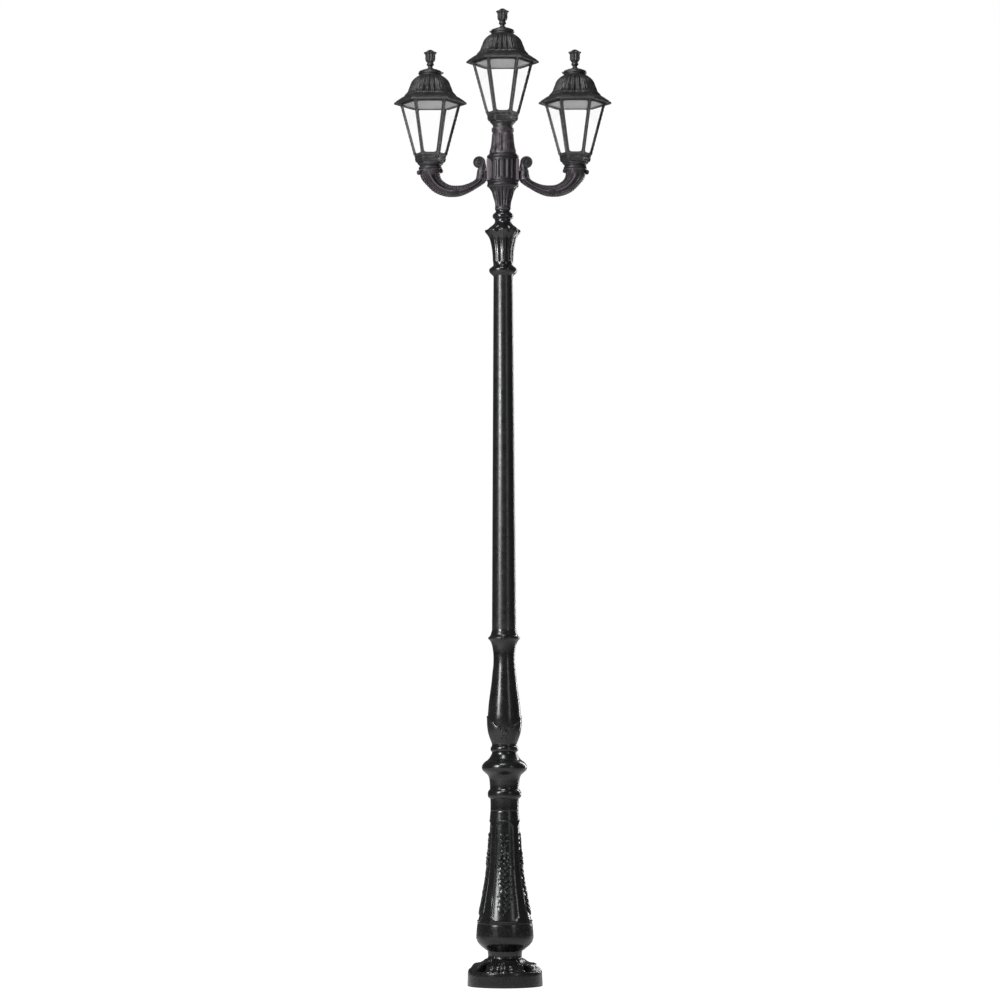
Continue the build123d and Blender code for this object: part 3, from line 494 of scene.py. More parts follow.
# ---------------------------------------------------------------- closed forms
class Form:
    """Closed surfaces gathered into one piece."""

    def __init__(self) -> None:
        """Starts with nothing."""
        self.points: list = []
        self.faces: list = []
        self.total = 0

    def _add(self, points: Array, quads: Array, tris: Array) -> None:
        """Adds one closed surface and turns its faces outwards.

        Where six times its signed volume, the sum of a . (b x c) over its triangles, is negative,
        every face is reversed.

        Args:
            points: its points.
            quads: its four-cornered faces.
            tris: its three-cornered faces.
        """
        corners = np.vstack([quads[:, :3], quads[:, [0, 2, 3]], tris])
        a, b, c = (points[corners[:, k]] for k in range(3))
        if np.einsum("ij,ij->i", a, np.cross(b, c)).sum() < 0.0:
            quads, tris = quads[:, ::-1], tris[:, ::-1]
        self.points.append(points)
        self.faces += (quads + self.total).tolist() + (tris + self.total).tolist()
        self.total += len(points)

    def tube(self, grid: Array) -> "Form":
        """Adds a grid whose rows are rings, with a fan to the middle of its first and last ring.

        Args:
            grid: rows x steps x 3.

        Returns:
            The form itself.
        """
        rows, count = grid.shape[:2]
        points = np.vstack([grid.reshape(-1, 3), grid[0].mean(axis=0), grid[-1].mean(axis=0)])
        start = np.arange(rows - 1)[:, None] * count
        here, there = np.arange(count), (np.arange(count) + 1) % count
        quads = np.stack(
            [start + here, start + there, start + count + there, start + count + here], axis=-1
        ).reshape(-1, 4)
        last = (rows - 1) * count
        foot = np.stack([np.full(count, rows * count), there, here], axis=-1)
        head = np.stack([np.full(count, rows * count + 1), last + here, last + there], axis=-1)
        self._add(points, quads, np.vstack([foot, head]))
        return self

    def ring(self, grid: Array) -> "Form":
        """Adds a grid that closes on itself both ways.

        Args:
            grid: rows x steps x 3.

        Returns:
            The form itself.
        """
        rows, count = grid.shape[:2]
        start = np.arange(rows)[:, None] * count
        after = (np.arange(rows) + 1)[:, None] % rows * count
        here, there = np.arange(count), (np.arange(count) + 1) % count
        quads = np.stack([start + here, start + there, after + there, after + here], axis=-1).reshape(-1, 4)
        self._add(grid.reshape(-1, 3), quads, np.zeros((0, 3), int))
        return self

    def mirrored(self) -> "Form":
        """The same form on the other side of the YZ plane.

        Returns:
            The new form.
        """
        other = Form()
        other.points = [points * np.array([-1.0, 1.0, 1.0]) for points in self.points]
        other.faces = [face[::-1] for face in self.faces]
        other.total = self.total
        return other

    def moved(self, x: float, z: float) -> "Form":
        """The same form moved along X and Z.

        Args:
            x: millimetres along X.
            z: millimetres along Z.

        Returns:
            The new form.
        """
        other = Form()
        other.points = [points + np.array([x, 0.0, z]) for points in self.points]
        other.faces = self.faces
        other.total = self.total
        return other

    def mesh(self, name: str, crease: float) -> Piece:
        """Makes the mesh.

        Args:
            name: its name.
            crease: angle in degrees past which an edge stays sharp.

        Returns:
            The object, in the scene.
        """
        mesh = bpy.data.meshes.new(name)
        mesh.from_pydata((np.vstack(self.points) * MM).tolist(), [], self.faces)
        mesh.polygons.foreach_set("use_smooth", np.ones(len(mesh.polygons), bool))
        mesh.set_sharp_from_angle(angle=math.radians(crease))
        mesh.update()
        piece = bpy.data.objects.new(name, mesh)
        bpy.context.scene.collection.objects.link(piece)
        return piece

    def make(
        self, name: str, finish: Finish, nodes: Sequence[str], body: str = "post", crease: float = CAST_EDGE
    ) -> Piece:
        """Makes the piece, dresses it, and has it ride on a body in place of CAD nodes.

        Args:
            name: the piece's name.
            finish: its finish.
            nodes: the CAD nodes that it stands for.
            body: the body that it moves with.
            crease: angle in degrees past which an edge stays sharp.

        Returns:
            The object.
        """
        piece = self.mesh(name, crease)
        dress(piece, finish, nodes, body)
        return piece


def dress(piece: Piece, finish: Finish, nodes: Sequence[str], body: str) -> None:
    """Gives a piece its material and body, and hides the CAD nodes that it stands for.

    Args:
        piece: the piece.
        finish: its finish.
        nodes: the CAD nodes that it stands for, or none.
        body: the body that it moves with.
    """
    piece.data.materials.append(finish.look())
    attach(piece, body)
    if nodes:
        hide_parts(*nodes)
    LOG.info("%s: %d faces", piece.name, len(piece.data.polygons))


def finish_node(node: str, finish: Finish) -> None:
    """Gives a carried-over CAD node its material.

    Args:
        node: the node's name.
        finish: its finish.
    """
    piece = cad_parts[node]
    if not piece.data.materials:
        piece.data.materials.append(None)
    for slot in piece.material_slots:
        slot.material = finish.look()
    LOG.info("%s keeps its CAD form", node)


def drilled(piece: Piece, spots: Array, radius: float, span: tuple) -> None:
    """Cuts upright round holes through a piece with an exact boolean, applied to its mesh.

    Args:
        piece: the piece.
        spots: (x, y) of each hole.
        radius: the holes' radius.
        span: heights that the drill runs between.
    """
    cutter = Form()
    for x, y in spots:
        cutter.tube(turned(np.array([(radius, span[0]), (radius, span[1])]), 40, None, (x, y)))
    tool = cutter.mesh("drill", SHARP_EDGE)
    cut = piece.modifiers.new("holes", "BOOLEAN")
    cut.operation, cut.solver, cut.object = "DIFFERENCE", "EXACT", tool
    evaluated = piece.evaluated_get(bpy.context.evaluated_depsgraph_get())
    mesh = bpy.data.meshes.new_from_object(evaluated)
    piece.modifiers.clear()
    piece.data = mesh
    bpy.data.objects.remove(tool)


def leaf(length: float, width: float, height: float, vein: float = 0.35, curl: float = 0.0) -> Array:
    """Closed leaf that lies along +t from the origin, with a rounded back and a middle vein.

    Along u from 0 to 1 the half width is width * sin(pi u^0.8)^0.8, and round the section the point
    is (w cos a, h sin a), less a groove on the crest; the tip lifts by curl * u^2.

    Args:
        length: the leaf's length.
        width: its half width.
        height: how far its back rises.
        vein: depth of the groove as a share of the height.
        curl: lift of the tip.

    Returns:
        Rows x steps x (across, along, out) in millimetres.
    """
    u = np.linspace(0.02, 0.98, 13)[:, None]
    a = (np.arange(14) * TURN / 14)[None, :]
    half = width * np.sin(math.pi * u**0.8) ** 0.8
    across = half * np.cos(a)
    rise = height * np.sin(math.pi * u) ** 0.5
    out = rise * np.sin(a) * (1.0 - vein * hump(np.cos(a), 0.22) * (np.sin(a) > 0)) + curl * u**2
    along = np.broadcast_to(length * u, across.shape)
    return np.stack([across, along, out], axis=-1)


def turned_piece(
    name: str, node: str, finish: Finish, profile: Array, count: int,
    relief: Relief | None = None, crease: float = CAST_EDGE,
) -> None:
    """Makes a turned piece of the post that starts at the underside of the CAD node it stands for.

    Args:
        name: the piece's name.
        node: the CAD node.
        finish: its finish.
        profile: (r, z) rows, from the node's underside up.
        count: steps round the axis.
        relief: gives (dr, dz), or None.
        crease: angle in degrees past which an edge stays sharp.
    """
    form = Form().tube(turned(profile, count, relief))
    form.moved(0.0, low_z(node)).make(name, finish, [node], crease=crease)


def laid(shape: Array, spot: tuple, lean: float, bed: Callable[[Array], Array], side: float) -> Array:
    """Lays a flat-made shape on a round surface.

    The shape is turned by LEAN in its plane and moved to SPOT, (across, height). Its distance across
    becomes an angle, arc / radius, round the axis from SIDE, and its rise adds to the bed's radius.

    Args:
        shape: (across, along, out) grid.
        spot: (across, height) of the shape's foot.
        lean: degrees from straight up, positive to the right.
        bed: radius of the surface at a height.
        side: angle in radians of the side's middle.

    Returns:
        x, y, z grid.
    """
    c, s = math.cos(math.radians(lean)), math.sin(math.radians(lean))
    across = spot[0] + c * shape[..., 0] + s * shape[..., 1]
    z = spot[1] - s * shape[..., 0] + c * shape[..., 1]
    bed_r = bed(z)
    angle = side + across / bed_r
    r = bed_r + shape[..., 2]
    return np.stack([r * np.cos(angle), r * np.sin(angle), z], axis=-1)


# ---------------------------------------------------------------- the post
@dataclass
class Foot:
    """Heavy disc with anchor holes, and the leaf mound and collar on it."""

    radius: float = 129.5
    top_r: float = 127.8
    height: float = 52.0
    entry_r: float = 15.0
    socket_r: float = 21.6
    socket_floor: float = 22.0
    anchor_circle: float = 200.0
    anchor_r: float = 7.0
    gap_r: float = 86.0
    gap_half: float = 8.0
    leaf_r: float = 126.6
    collar_r: float = 59.5
    mound_h: float = 43.0
    mound_top: float = 67.0
    steps: int = 320

    def build(self) -> None:
        """Makes both pieces."""
        self.disc()
        self.mound()

    def disc(self) -> None:
        """Disc with eased edges, a socket and a cable entry, drilled for its anchors."""
        h = self.height
        profile = flowing([
            (self.entry_r, 0.0, "sharp"), (self.radius - 1.2, 0.0, "sharp"), (self.radius, 1.2, "sharp"),
            (self.top_r + 0.2, h - 4.0, "sharp"), (self.top_r - 0.9, h - 1.2),
            (self.top_r - 4.0, h, "sharp"), (self.socket_r, h, "sharp"),
            (self.socket_r, self.socket_floor, "sharp"),
            (self.entry_r, self.socket_floor, "sharp"), (self.entry_r, 0.3, "sharp"),
        ], 4)
        piece = Form().ring(turned(profile, 160)).mesh("foot_disc", SHARP_EDGE)
        a = np.radians(45.0 + 90.0 * np.arange(4))
        spots = self.anchor_circle / 2 * np.stack([np.cos(a), np.sin(a)], axis=1)
        drilled(piece, spots, self.anchor_r, (-2.0, h + 2.0))
        piece.data.polygons.foreach_set("use_smooth", np.ones(len(piece.data.polygons), bool))
        piece.data.set_sharp_from_angle(angle=math.radians(SHARP_EDGE))
        dress(piece, Finish.IRON, ["base_foot"], "post")

    def mound(self) -> None:
        """Four broad leaves with scalloped edges and veins, parted on the diagonals.

        A row of the grid blends a low ground curve and a high leaf curve; the share of leaf is a
        smooth step of the angle from the leaf's edge.
        """
        leaf_curve = even(flowing([
            (self.leaf_r, 0.0, "sharp"), (self.leaf_r - 1.5, 3.0), (self.leaf_r - 9.0, 9.0),
            (self.leaf_r - 19.0, 22.0), (self.leaf_r - 27.0, 26.0), (88.0, 27.0), (75.0, 33.5),
            (68.0, 39.5), (self.collar_r + 1.0, self.mound_h, "sharp"), (self.collar_r, self.mound_h + 1.0),
            (self.collar_r, self.mound_top - 1.0), (self.collar_r, self.mound_top, "sharp"),
        ], 8), 2.0)
        share = np.linspace(0.0, 1.0, len(leaf_curve))
        ground = flowing([
            (self.gap_r, 0.0), (78.0, 6.0), (68.0, 20.0), (61.5, 38.0), (self.collar_r, 48.0),
            (self.collar_r, self.mound_top),
        ], 8)
        ground_share = np.linspace(0.0, 1.0, len(ground))
        ground = np.stack([np.interp(share, ground_share, ground[:, k]) for k in range(2)], axis=1)
        angle = np.broadcast_to(np.arange(self.steps) * TURN / self.steps, (len(share), self.steps))
        phi = np.degrees(np.mod(angle + math.pi / 4, math.pi / 2) - math.pi / 4)
        r_leaf, z_leaf = (np.repeat(leaf_curve[:, k:k + 1], self.steps, axis=1) for k in range(2))
        on_leaf = smooth((z_leaf - 0.5) / 3.0) * smooth((self.mound_h - z_leaf) / 6.0)
        edge = smooth((r_leaf - 100.0) / 20.0)
        scallop = 1.0 - np.abs(np.cos(np.radians(phi * 12.0)))
        r_leaf = r_leaf - 4.5 * edge * scallop
        vein = hump(phi, 2.2) * 1.8 + 1.1 * np.abs(np.cos(np.radians(phi * 15.0 - r_leaf * 1.5)))
        z_leaf = z_leaf + on_leaf * (vein - 1.0)
        blend = smooth((45.0 - self.gap_half * (0.6 + 0.4 * edge) - np.abs(phi)) / 3.5)
        r = ground[:, :1] + (r_leaf - ground[:, :1]) * blend
        z = ground[:, 1:2] + (z_leaf - ground[:, 1:2]) * blend
        base = low_z("base_rosette")
        grid = np.stack([r * np.cos(angle), r * np.sin(angle), base + z], axis=-1)
        Form().tube(grid).make("leaf_mound", Finish.IRON, ["base_rosette"], crease=50.0)


@dataclass
class Vase:
    """Panelled vase with a floral sprig in relief on each side."""

    panel_low: float = 106.0
    panel_high: float = 444.0
    panel_half: float = 32.0
    panel_depth: float = 2.4
    corner_cut: float = 15.0
    bead: float = 2.2
    count: int = 320

    def profile(self) -> Array:
        """Outline without its panels: flare, belly, shoulder and long hollow neck.

        Returns:
            (r, z) rows from the foot up.
        """
        return even(flowing([
            (59.7, 0.0, "sharp"), (74.0, 10.5), (86.6, 21.5), (95.0, 33.0), (98.6, 46.0), (98.2, 62.0),
            (96.6, 80.0), (94.9, 96.0), (93.9, 106.0), (89.6, 125.0), (81.0, 165.0), (69.8, 226.0),
            (60.8, 290.0), (56.8, 350.0), (53.4, 418.0), (51.2, 452.0), (49.0, 480.0), (48.6, 506.0),
            (49.3, 522.0, "sharp"),
        ], 6), 2.1)

    def bed(self, z: Array) -> Array:
        """Radius of a panel's floor at a height over the vase's foot."""
        profile = self.profile()
        return np.interp(z, profile[:, 1], profile[:, 0]) - self.panel_depth

    def relief(self, angle: Array, z: Array, r: Array) -> tuple:
        """Panels with cut corners and a fine bead, and three turned lines.

        The distance to a panel's outline is the greatest of the distances past its side, past its
        end and past the cut across its corner; the floor is a smooth step of it.

        Args:
            angle: angles round the axis.
            z: heights.
            r: radii.

        Returns:
            What is added to the radius and to the height.
        """
        x = np.abs(np.mod(angle + math.pi / 4, math.pi / 2) - math.pi / 4) * r
        past_side = x - np.radians(self.panel_half) * r
        middle, half = (self.panel_low + self.panel_high) / 2, (self.panel_high - self.panel_low) / 2
        past_end = np.abs(z - middle) - half
        past_cut = (past_side + past_end + self.corner_cut) / math.sqrt(2.0)
        past = np.maximum(np.maximum(past_side, past_end), past_cut)
        sunk = smooth((0.6 - past) / 2.4)
        dr = self.bead * hump(past - 1.8, 1.5) - self.panel_depth * sunk
        dr = dr - 0.9 * (hump(z - 93.0, 1.6) + hump(z - 480.0, 1.6)) + 0.6 * hump(z - 44.0, 2.0)
        return dr, np.zeros_like(z)

    def build(self) -> None:
        """Makes the body and its sprigs."""
        turned_piece("vase_body", "base_vase", Finish.IRON, self.profile(), self.count, self.relief)
        form = Form()
        for side in range(4):
            for shape, spot, lean in self.sprig():
                form.tube(laid(shape, spot, lean, self.bed, TURN / 4 * side))
        form.moved(0.0, low_z("base_vase")).make("vase_sprigs", Finish.IRON, [])

    def sprig(self) -> list:
        """Leaves, petals and beads of one sprig, from its foot up.

        Pairs of pointed leaves climb a wavy stem and shorten upwards, with five-petalled flowers
        over them and a small curled pair at the top. The stem is a chain of narrow leaves that lean
        along it: it is off the middle by sway * sin(z / bend).

        Returns:
            (shape, foot, lean) of each.
        """
        parts = []
        low, high = 128.0, 405.0
        sway, bend = 3.0, 24.0
        for i in range(8):
            z = low + 21.0 * i
            stem = sway * math.sin(z / bend)
            for side in (-1, 1):
                longer = 5.0 if side == (1 if i % 2 else -1) else 0.0
                shape = leaf(39.0 - 1.6 * i + longer, 6.4, 7.8, 0.5)
                parts.append((shape, (stem, z + 5.0 * side), side * (36.0 + 6.0 * (i % 3))))
        for k in range(20):
            z = low + (high - low) * k / 20
            lean = math.degrees(math.atan(sway / bend * math.cos(z / bend)))
            parts.append((leaf(18.0, 1.8, 5.0, 0.0), (sway * math.sin(z / bend), z - 2.0), lean))
        for x, z, lean in (
            (-18, 286, -35), (16, 285, 40), (-1, 292, 0), (-13, 300, 20), (11, 301, -15), (-20, 312, 30),
            (0, 311, 0), (17, 315, -30), (-9, 325, -20), (8, 327, 25),
        ):
            parts.append((leaf(16.0, 6.4, 8.6, 0.0), (x, z), lean))
        for z in (338, 205):
            for petal in range(5):
                parts.append((leaf(16.0, 5.0, 6.6, 0.4), (-2.0, z), 72.0 * petal + 20.0))
            parts.append((leaf(7.0, 3.6, 7.5, 0.0), (-2.0, z - 3.5), 0.0))
        for side in (-1, 1):
            parts.append((leaf(20.0, 4.6, 6.0), (-3.0, 352.0), side * 34.0))
            parts.append((leaf(18.0, 4.6, 7.0), (side * 2.0, 376.0), side * 68.0))
            parts.append((leaf(19.0, 4.8, 7.0), (side * 2.0, 396.0), side * 72.0))
        return parts


@dataclass
class Column:
    """Turned castings between the vase and the hub: knop, baluster, shaft and capital."""

    cup_leaf: float = 3.4
    cup_tip: float = 98.0
    cup_valley: float = 46.0
    petals: int = 8
    flute: float = 3.4

    def build(self) -> None:
        """Makes the four pieces."""
        self.knop()
        self.baluster()
        self.shaft()
        self.capital()

    def knop(self) -> None:
        """Ring, neck, large knop, waist and bead."""
        profile = even(flowing([
            (48.6, 0.0, "sharp"), (52.0, 1.2), (56.6, 7.0), (57.8, 16.0), (56.6, 25.0), (52.2, 31.0),
            (50.6, 33.5, "sharp"), (50.3, 42.0), (51.2, 56.0), (53.4, 72.0), (57.6, 81.0), (66.0, 89.0),
            (74.6, 97.0), (78.0, 106.0), (76.2, 116.0), (68.4, 126.0), (57.4, 134.0), (49.0, 145.0),
            (43.9, 155.0), (43.2, 161.0, "sharp"), (46.4, 164.5), (47.9, 171.0), (46.6, 177.5),
            (43.4, 181.0, "sharp"), (43.2, 188.0, "sharp"),
        ], 6), 3.0)
        turned_piece("knop_casting", "knop", Finish.IRON, profile, 144)

    def baluster(self) -> None:
        """Leaf cup under a long taper, waist and bell with a sharp lip."""
        profile = even(flowing([
            (43.3, 0.0, "sharp"), (44.4, 10.0), (47.6, 20.0), (51.2, 31.0), (53.8, 41.0), (56.0, 55.0),
            (57.2, 70.0), (57.6, 85.0), (57.2, 98.0), (56.0, 114.0), (54.0, 138.0), (50.4, 167.0),
            (44.7, 208.0), (40.4, 250.0), (37.9, 271.0), (37.2, 290.0), (37.7, 312.0), (40.2, 332.0),
            (44.6, 349.0), (50.6, 359.0), (55.0, 363.0, "sharp"), (55.3, 365.5), (54.4, 368.5, "sharp"),
            (48.4, 374.0), (44.9, 384.0), (42.6, 391.0), (41.9, 396.0, "sharp"),
        ], 6), 2.0)

        def bed(z: Array) -> Array:
            """Radius of the cup's leaves."""
            return np.interp(z, profile[:, 1], profile[:, 0]) + self.cup_leaf

        def relief(angle: Array, z: Array, r: Array) -> tuple:
            """Leaf cup with veins and a rolled edge, whose rim falls from a tip on each arm's side to
            the front and back: rim = valley + (tip - valley) * |cos a|^1.6.

            Args:
                angle: angles round the axis.
                z: heights.
                r: radii, not used.

            Returns:
                What is added to the radius and to the height.
            """
            rim = self.cup_valley + (self.cup_tip - self.cup_valley) * np.abs(np.cos(angle)) ** 1.6
            rim = rim - 4.0 * lobes(angle, 16) * (1.0 - np.abs(np.cos(angle)) ** 4)
            cover = smooth((rim - z) / 2.6)
            roll = 1.1 * hump(z - rim + 4.0, 2.6)
            vein = 0.7 * (np.cos(16.0 * angle) - 0.4) * smooth((z - 6.0) / 20.0)
            dr = cover * (self.cup_leaf - 0.9 + 0.5 * vein) + roll * cover
            return dr * smooth(z / 14.0), np.zeros_like(z)

        form = Form().tube(turned(profile, 288, relief))
        for side in (-TURN / 4, TURN / 4):
            for lean, size in ((-74.0, 17.0), (-38.0, 22.0), (0.0, 25.0), (38.0, 22.0), (74.0, 17.0)):
                form.tube(laid(leaf(size, 4.6, 3.8, 0.4), (0.0, 31.0), lean, bed, side))
            for across in (-10.0, 10.0):
                form.tube(laid(leaf(7.0, 3.6, 4.2, 0.0), (across, 16.0), 0.0, bed, side))
                lean = 1.2 * across + 20.0 * np.sign(across)
                form.tube(laid(leaf(24.0, 3.4, 3.2, 0.3), (1.3 * across, 46.0), lean, bed, side))
        form.moved(0.0, low_z("baluster")).make("baluster_casting", Finish.IRON, ["baluster"])

    def shaft(self) -> None:
        """Long taper with a soft ease at its ends."""
        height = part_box("shaft_tube")[1].z / MM - low_z("shaft_tube")
        profile = even(flowing([
            (41.9, 0.0, "sharp"), (39.4, 0.33 * height), (36.6, 0.66 * height), (33.7, height, "sharp"),
        ], 12), 24.0)
        turned_piece("shaft", "shaft_tube", Finish.STEEL, profile, 128)

    def capital(self) -> None:
        """Ring, lotus of curled petals and neck bead."""
        profile = even(flowing([
            (35.0, 0.0, "sharp"), (38.6, 4.0), (44.9, 10.0), (48.6, 17.0), (48.4, 23.5), (43.4, 29.0),
            (38.0, 33.0), (34.6, 37.0), (34.2, 41.0, "sharp"), (34.7, 52.0), (35.6, 73.0), (37.8, 94.0),
            (41.4, 114.0), (45.6, 130.0), (52.6, 143.0), (59.0, 151.0), (62.2, 157.0), (61.2, 162.0, "sharp"),
            (54.0, 163.5), (44.4, 172.0), (34.0, 181.0), (28.9, 188.0), (28.6, 197.0), (30.6, 201.0, "sharp"),
            (34.6, 203.5), (36.2, 210.0), (34.4, 217.0), (29.6, 221.0), (25.6, 226.0), (26.0, 230.0),
            (28.2, 234.0, "sharp"),
        ], 6), 1.6)

        def relief(angle: Array, z: Array, r: Array) -> tuple:
            """Petals: the valleys between them are cut by flute * (1 - crest)^1.6, a rib runs up each
            middle, and the rim falls and draws in at the valleys.

            Args:
                angle: angles round the axis.
                z: heights.
                r: radii.

            Returns:
                What is added to the radius and to the height.
            """
            crest = lobes(angle + TURN / 2 / self.petals, self.petals)
            on = smooth((z - 43.0) / 10.0) * smooth((181.0 - z) / 14.0)
            rib = hump(1.0 - crest, 0.02)
            out = smooth((r - 40.0) / 20.0)
            dr = on * (1.1 * rib - self.flute * (1.0 + out) * (1.0 - crest) ** 1.6)
            rim = smooth((z - 128.0) / 26.0) * smooth((176.0 - z) / 14.0)
            return dr, -9.0 * rim * (1.0 - crest) ** 1.4

        turned_piece("lotus_capital", "capital", Finish.CAPITAL, profile, 256, relief, CARVED_EDGE)


# ---------------------------------------------------------------- hub and arms
@dataclass
class Hub:
    """Fluted trumpet, fluted drum and leafy head."""

    flutes: int = 16
    flute_depth: float = 4.2
    head_leaves: int = 8

    def build(self) -> None:
        """Makes the three pieces."""
        self.trumpet()
        self.drum()
        self.head()

    def trumpet(self) -> None:
        """Long narrow leaves that widen up to the drum."""
        profile = even(flowing([
            (28.2, 0.0, "sharp"), (27.9, 14.0), (29.6, 27.0), (32.6, 37.0), (35.8, 48.0), (39.6, 61.0),
            (44.6, 70.0), (50.0, 78.5, "sharp"),
        ], 8), 1.5)

        def relief(angle: Array, z: Array, r: Array) -> tuple:
            """Leaf ribs: depth * (lobe - 1), with a fine line on each crest.

            Args:
                angle: angles round the axis.
                z: heights.
                r: radii, not used.

            Returns:
                What is added to the radius and to the height.
            """
            lobe = lobes(angle, self.flutes)
            on = smooth((z - 4.0) / 10.0) * smooth((76.0 - z) / 6.0)
            return on * (3.2 * (lobe - 1.0) - 0.8 * hump(1.0 - lobe, 0.03)), np.zeros_like(z)

        turned_piece("hub_trumpet", "hub_foot", Finish.HUB, profile, 256, relief)

    def drum(self) -> None:
        """Round-ended flutes between two rolled collars."""
        low, high, top = 21.0, 99.0, 116.5
        profile = even(flowing([
            (50.0, 0.0, "sharp"), (54.0, 1.6), (55.5, 6.0), (54.4, 10.5), (52.6, 12.5, "sharp"),
            (54.2, 14.5), (53.6, 18.5), (50.2, low, "sharp"), (50.0, low + 2.0), (50.0, high - 2.0),
            (50.2, high, "sharp"), (53.8, high + 2.0), (55.5, high + 6.5), (54.6, high + 11.0),
            (51.5, high + 13.5, "sharp"), (49.4, high + 15.5), (48.6, top, "sharp"),
        ], 6), 1.5)

        def relief(angle: Array, z: Array, r: Array) -> tuple:
            """Flutes of half-round section that end in round heads: depth * sqrt(1 - reach^2), where
            reach is the distance from the flute's middle line over its half width.

            Args:
                angle: angles round the axis.
                z: heights.
                r: radii, not used.

            Returns:
                What is added to the radius and to the height.
            """
            across = np.abs(np.mod(angle * self.flutes / TURN, 1.0) - 0.5) * TURN / self.flutes * 50.0
            past = np.maximum(np.maximum(low + 12.0 - z, z - high + 12.0), 0.0)
            reach = np.hypot(across, past) / 6.6
            return -self.flute_depth * np.sqrt(np.clip(1.0 - reach**2, 0.0, 1.0)), np.zeros_like(z)

        turned_piece("hub_drum_casting", "hub_drum", Finish.HUB, profile, 384, relief, CARVED_EDGE)

    def head(self) -> None:
        """Tall leaves that close in to the seat ring of the middle lantern."""
        profile = even(flowing([
            (47.1, 0.0, "sharp"), (47.0, 6.0), (45.6, 13.0), (42.6, 22.0), (40.8, 33.0), (39.3, 46.0),
            (38.0, 62.0), (37.4, 72.0), (36.6, 76.0, "sharp"), (36.4, 78.4, "sharp"), (39.0, 79.4, "sharp"),
            (39.0, 82.5), (38.6, 83.6), (39.0, 84.8), (39.0, 90.0, "sharp"),
        ], 8), 1.5)

        def relief(angle: Array, z: Array, r: Array) -> tuple:
            """Broad leaves with round tips over narrow ones: each leaf swells between its valleys
            up to a tip that is highest on its crest.

            Args:
                angle: angles round the axis.
                z: heights.
                r: radii, not used.

            Returns:
                What is added to the radius and to the height.
            """
            lobe = lobes(angle, self.head_leaves)
            tip = 46.0 + 26.0 * lobe**0.5
            on = smooth((z - 1.0) / 5.0) * smooth((tip - z) / 3.0)
            fine = 0.8 * np.cos(5.0 * self.head_leaves * angle) * smooth((z - 8.0) / 20.0)
            dr = on * (4.0 * lobe**0.7 - 2.6 + 0.5 * fine) - 1.2 * (1.0 - on) * smooth((z - 1.0) / 5.0)
            return dr * smooth((76.0 - z) / 3.0), np.zeros_like(z)

        turned_piece("hub_head_casting", "hub_head", Finish.HEAD, profile, 288, relief, CARVED_EDGE)


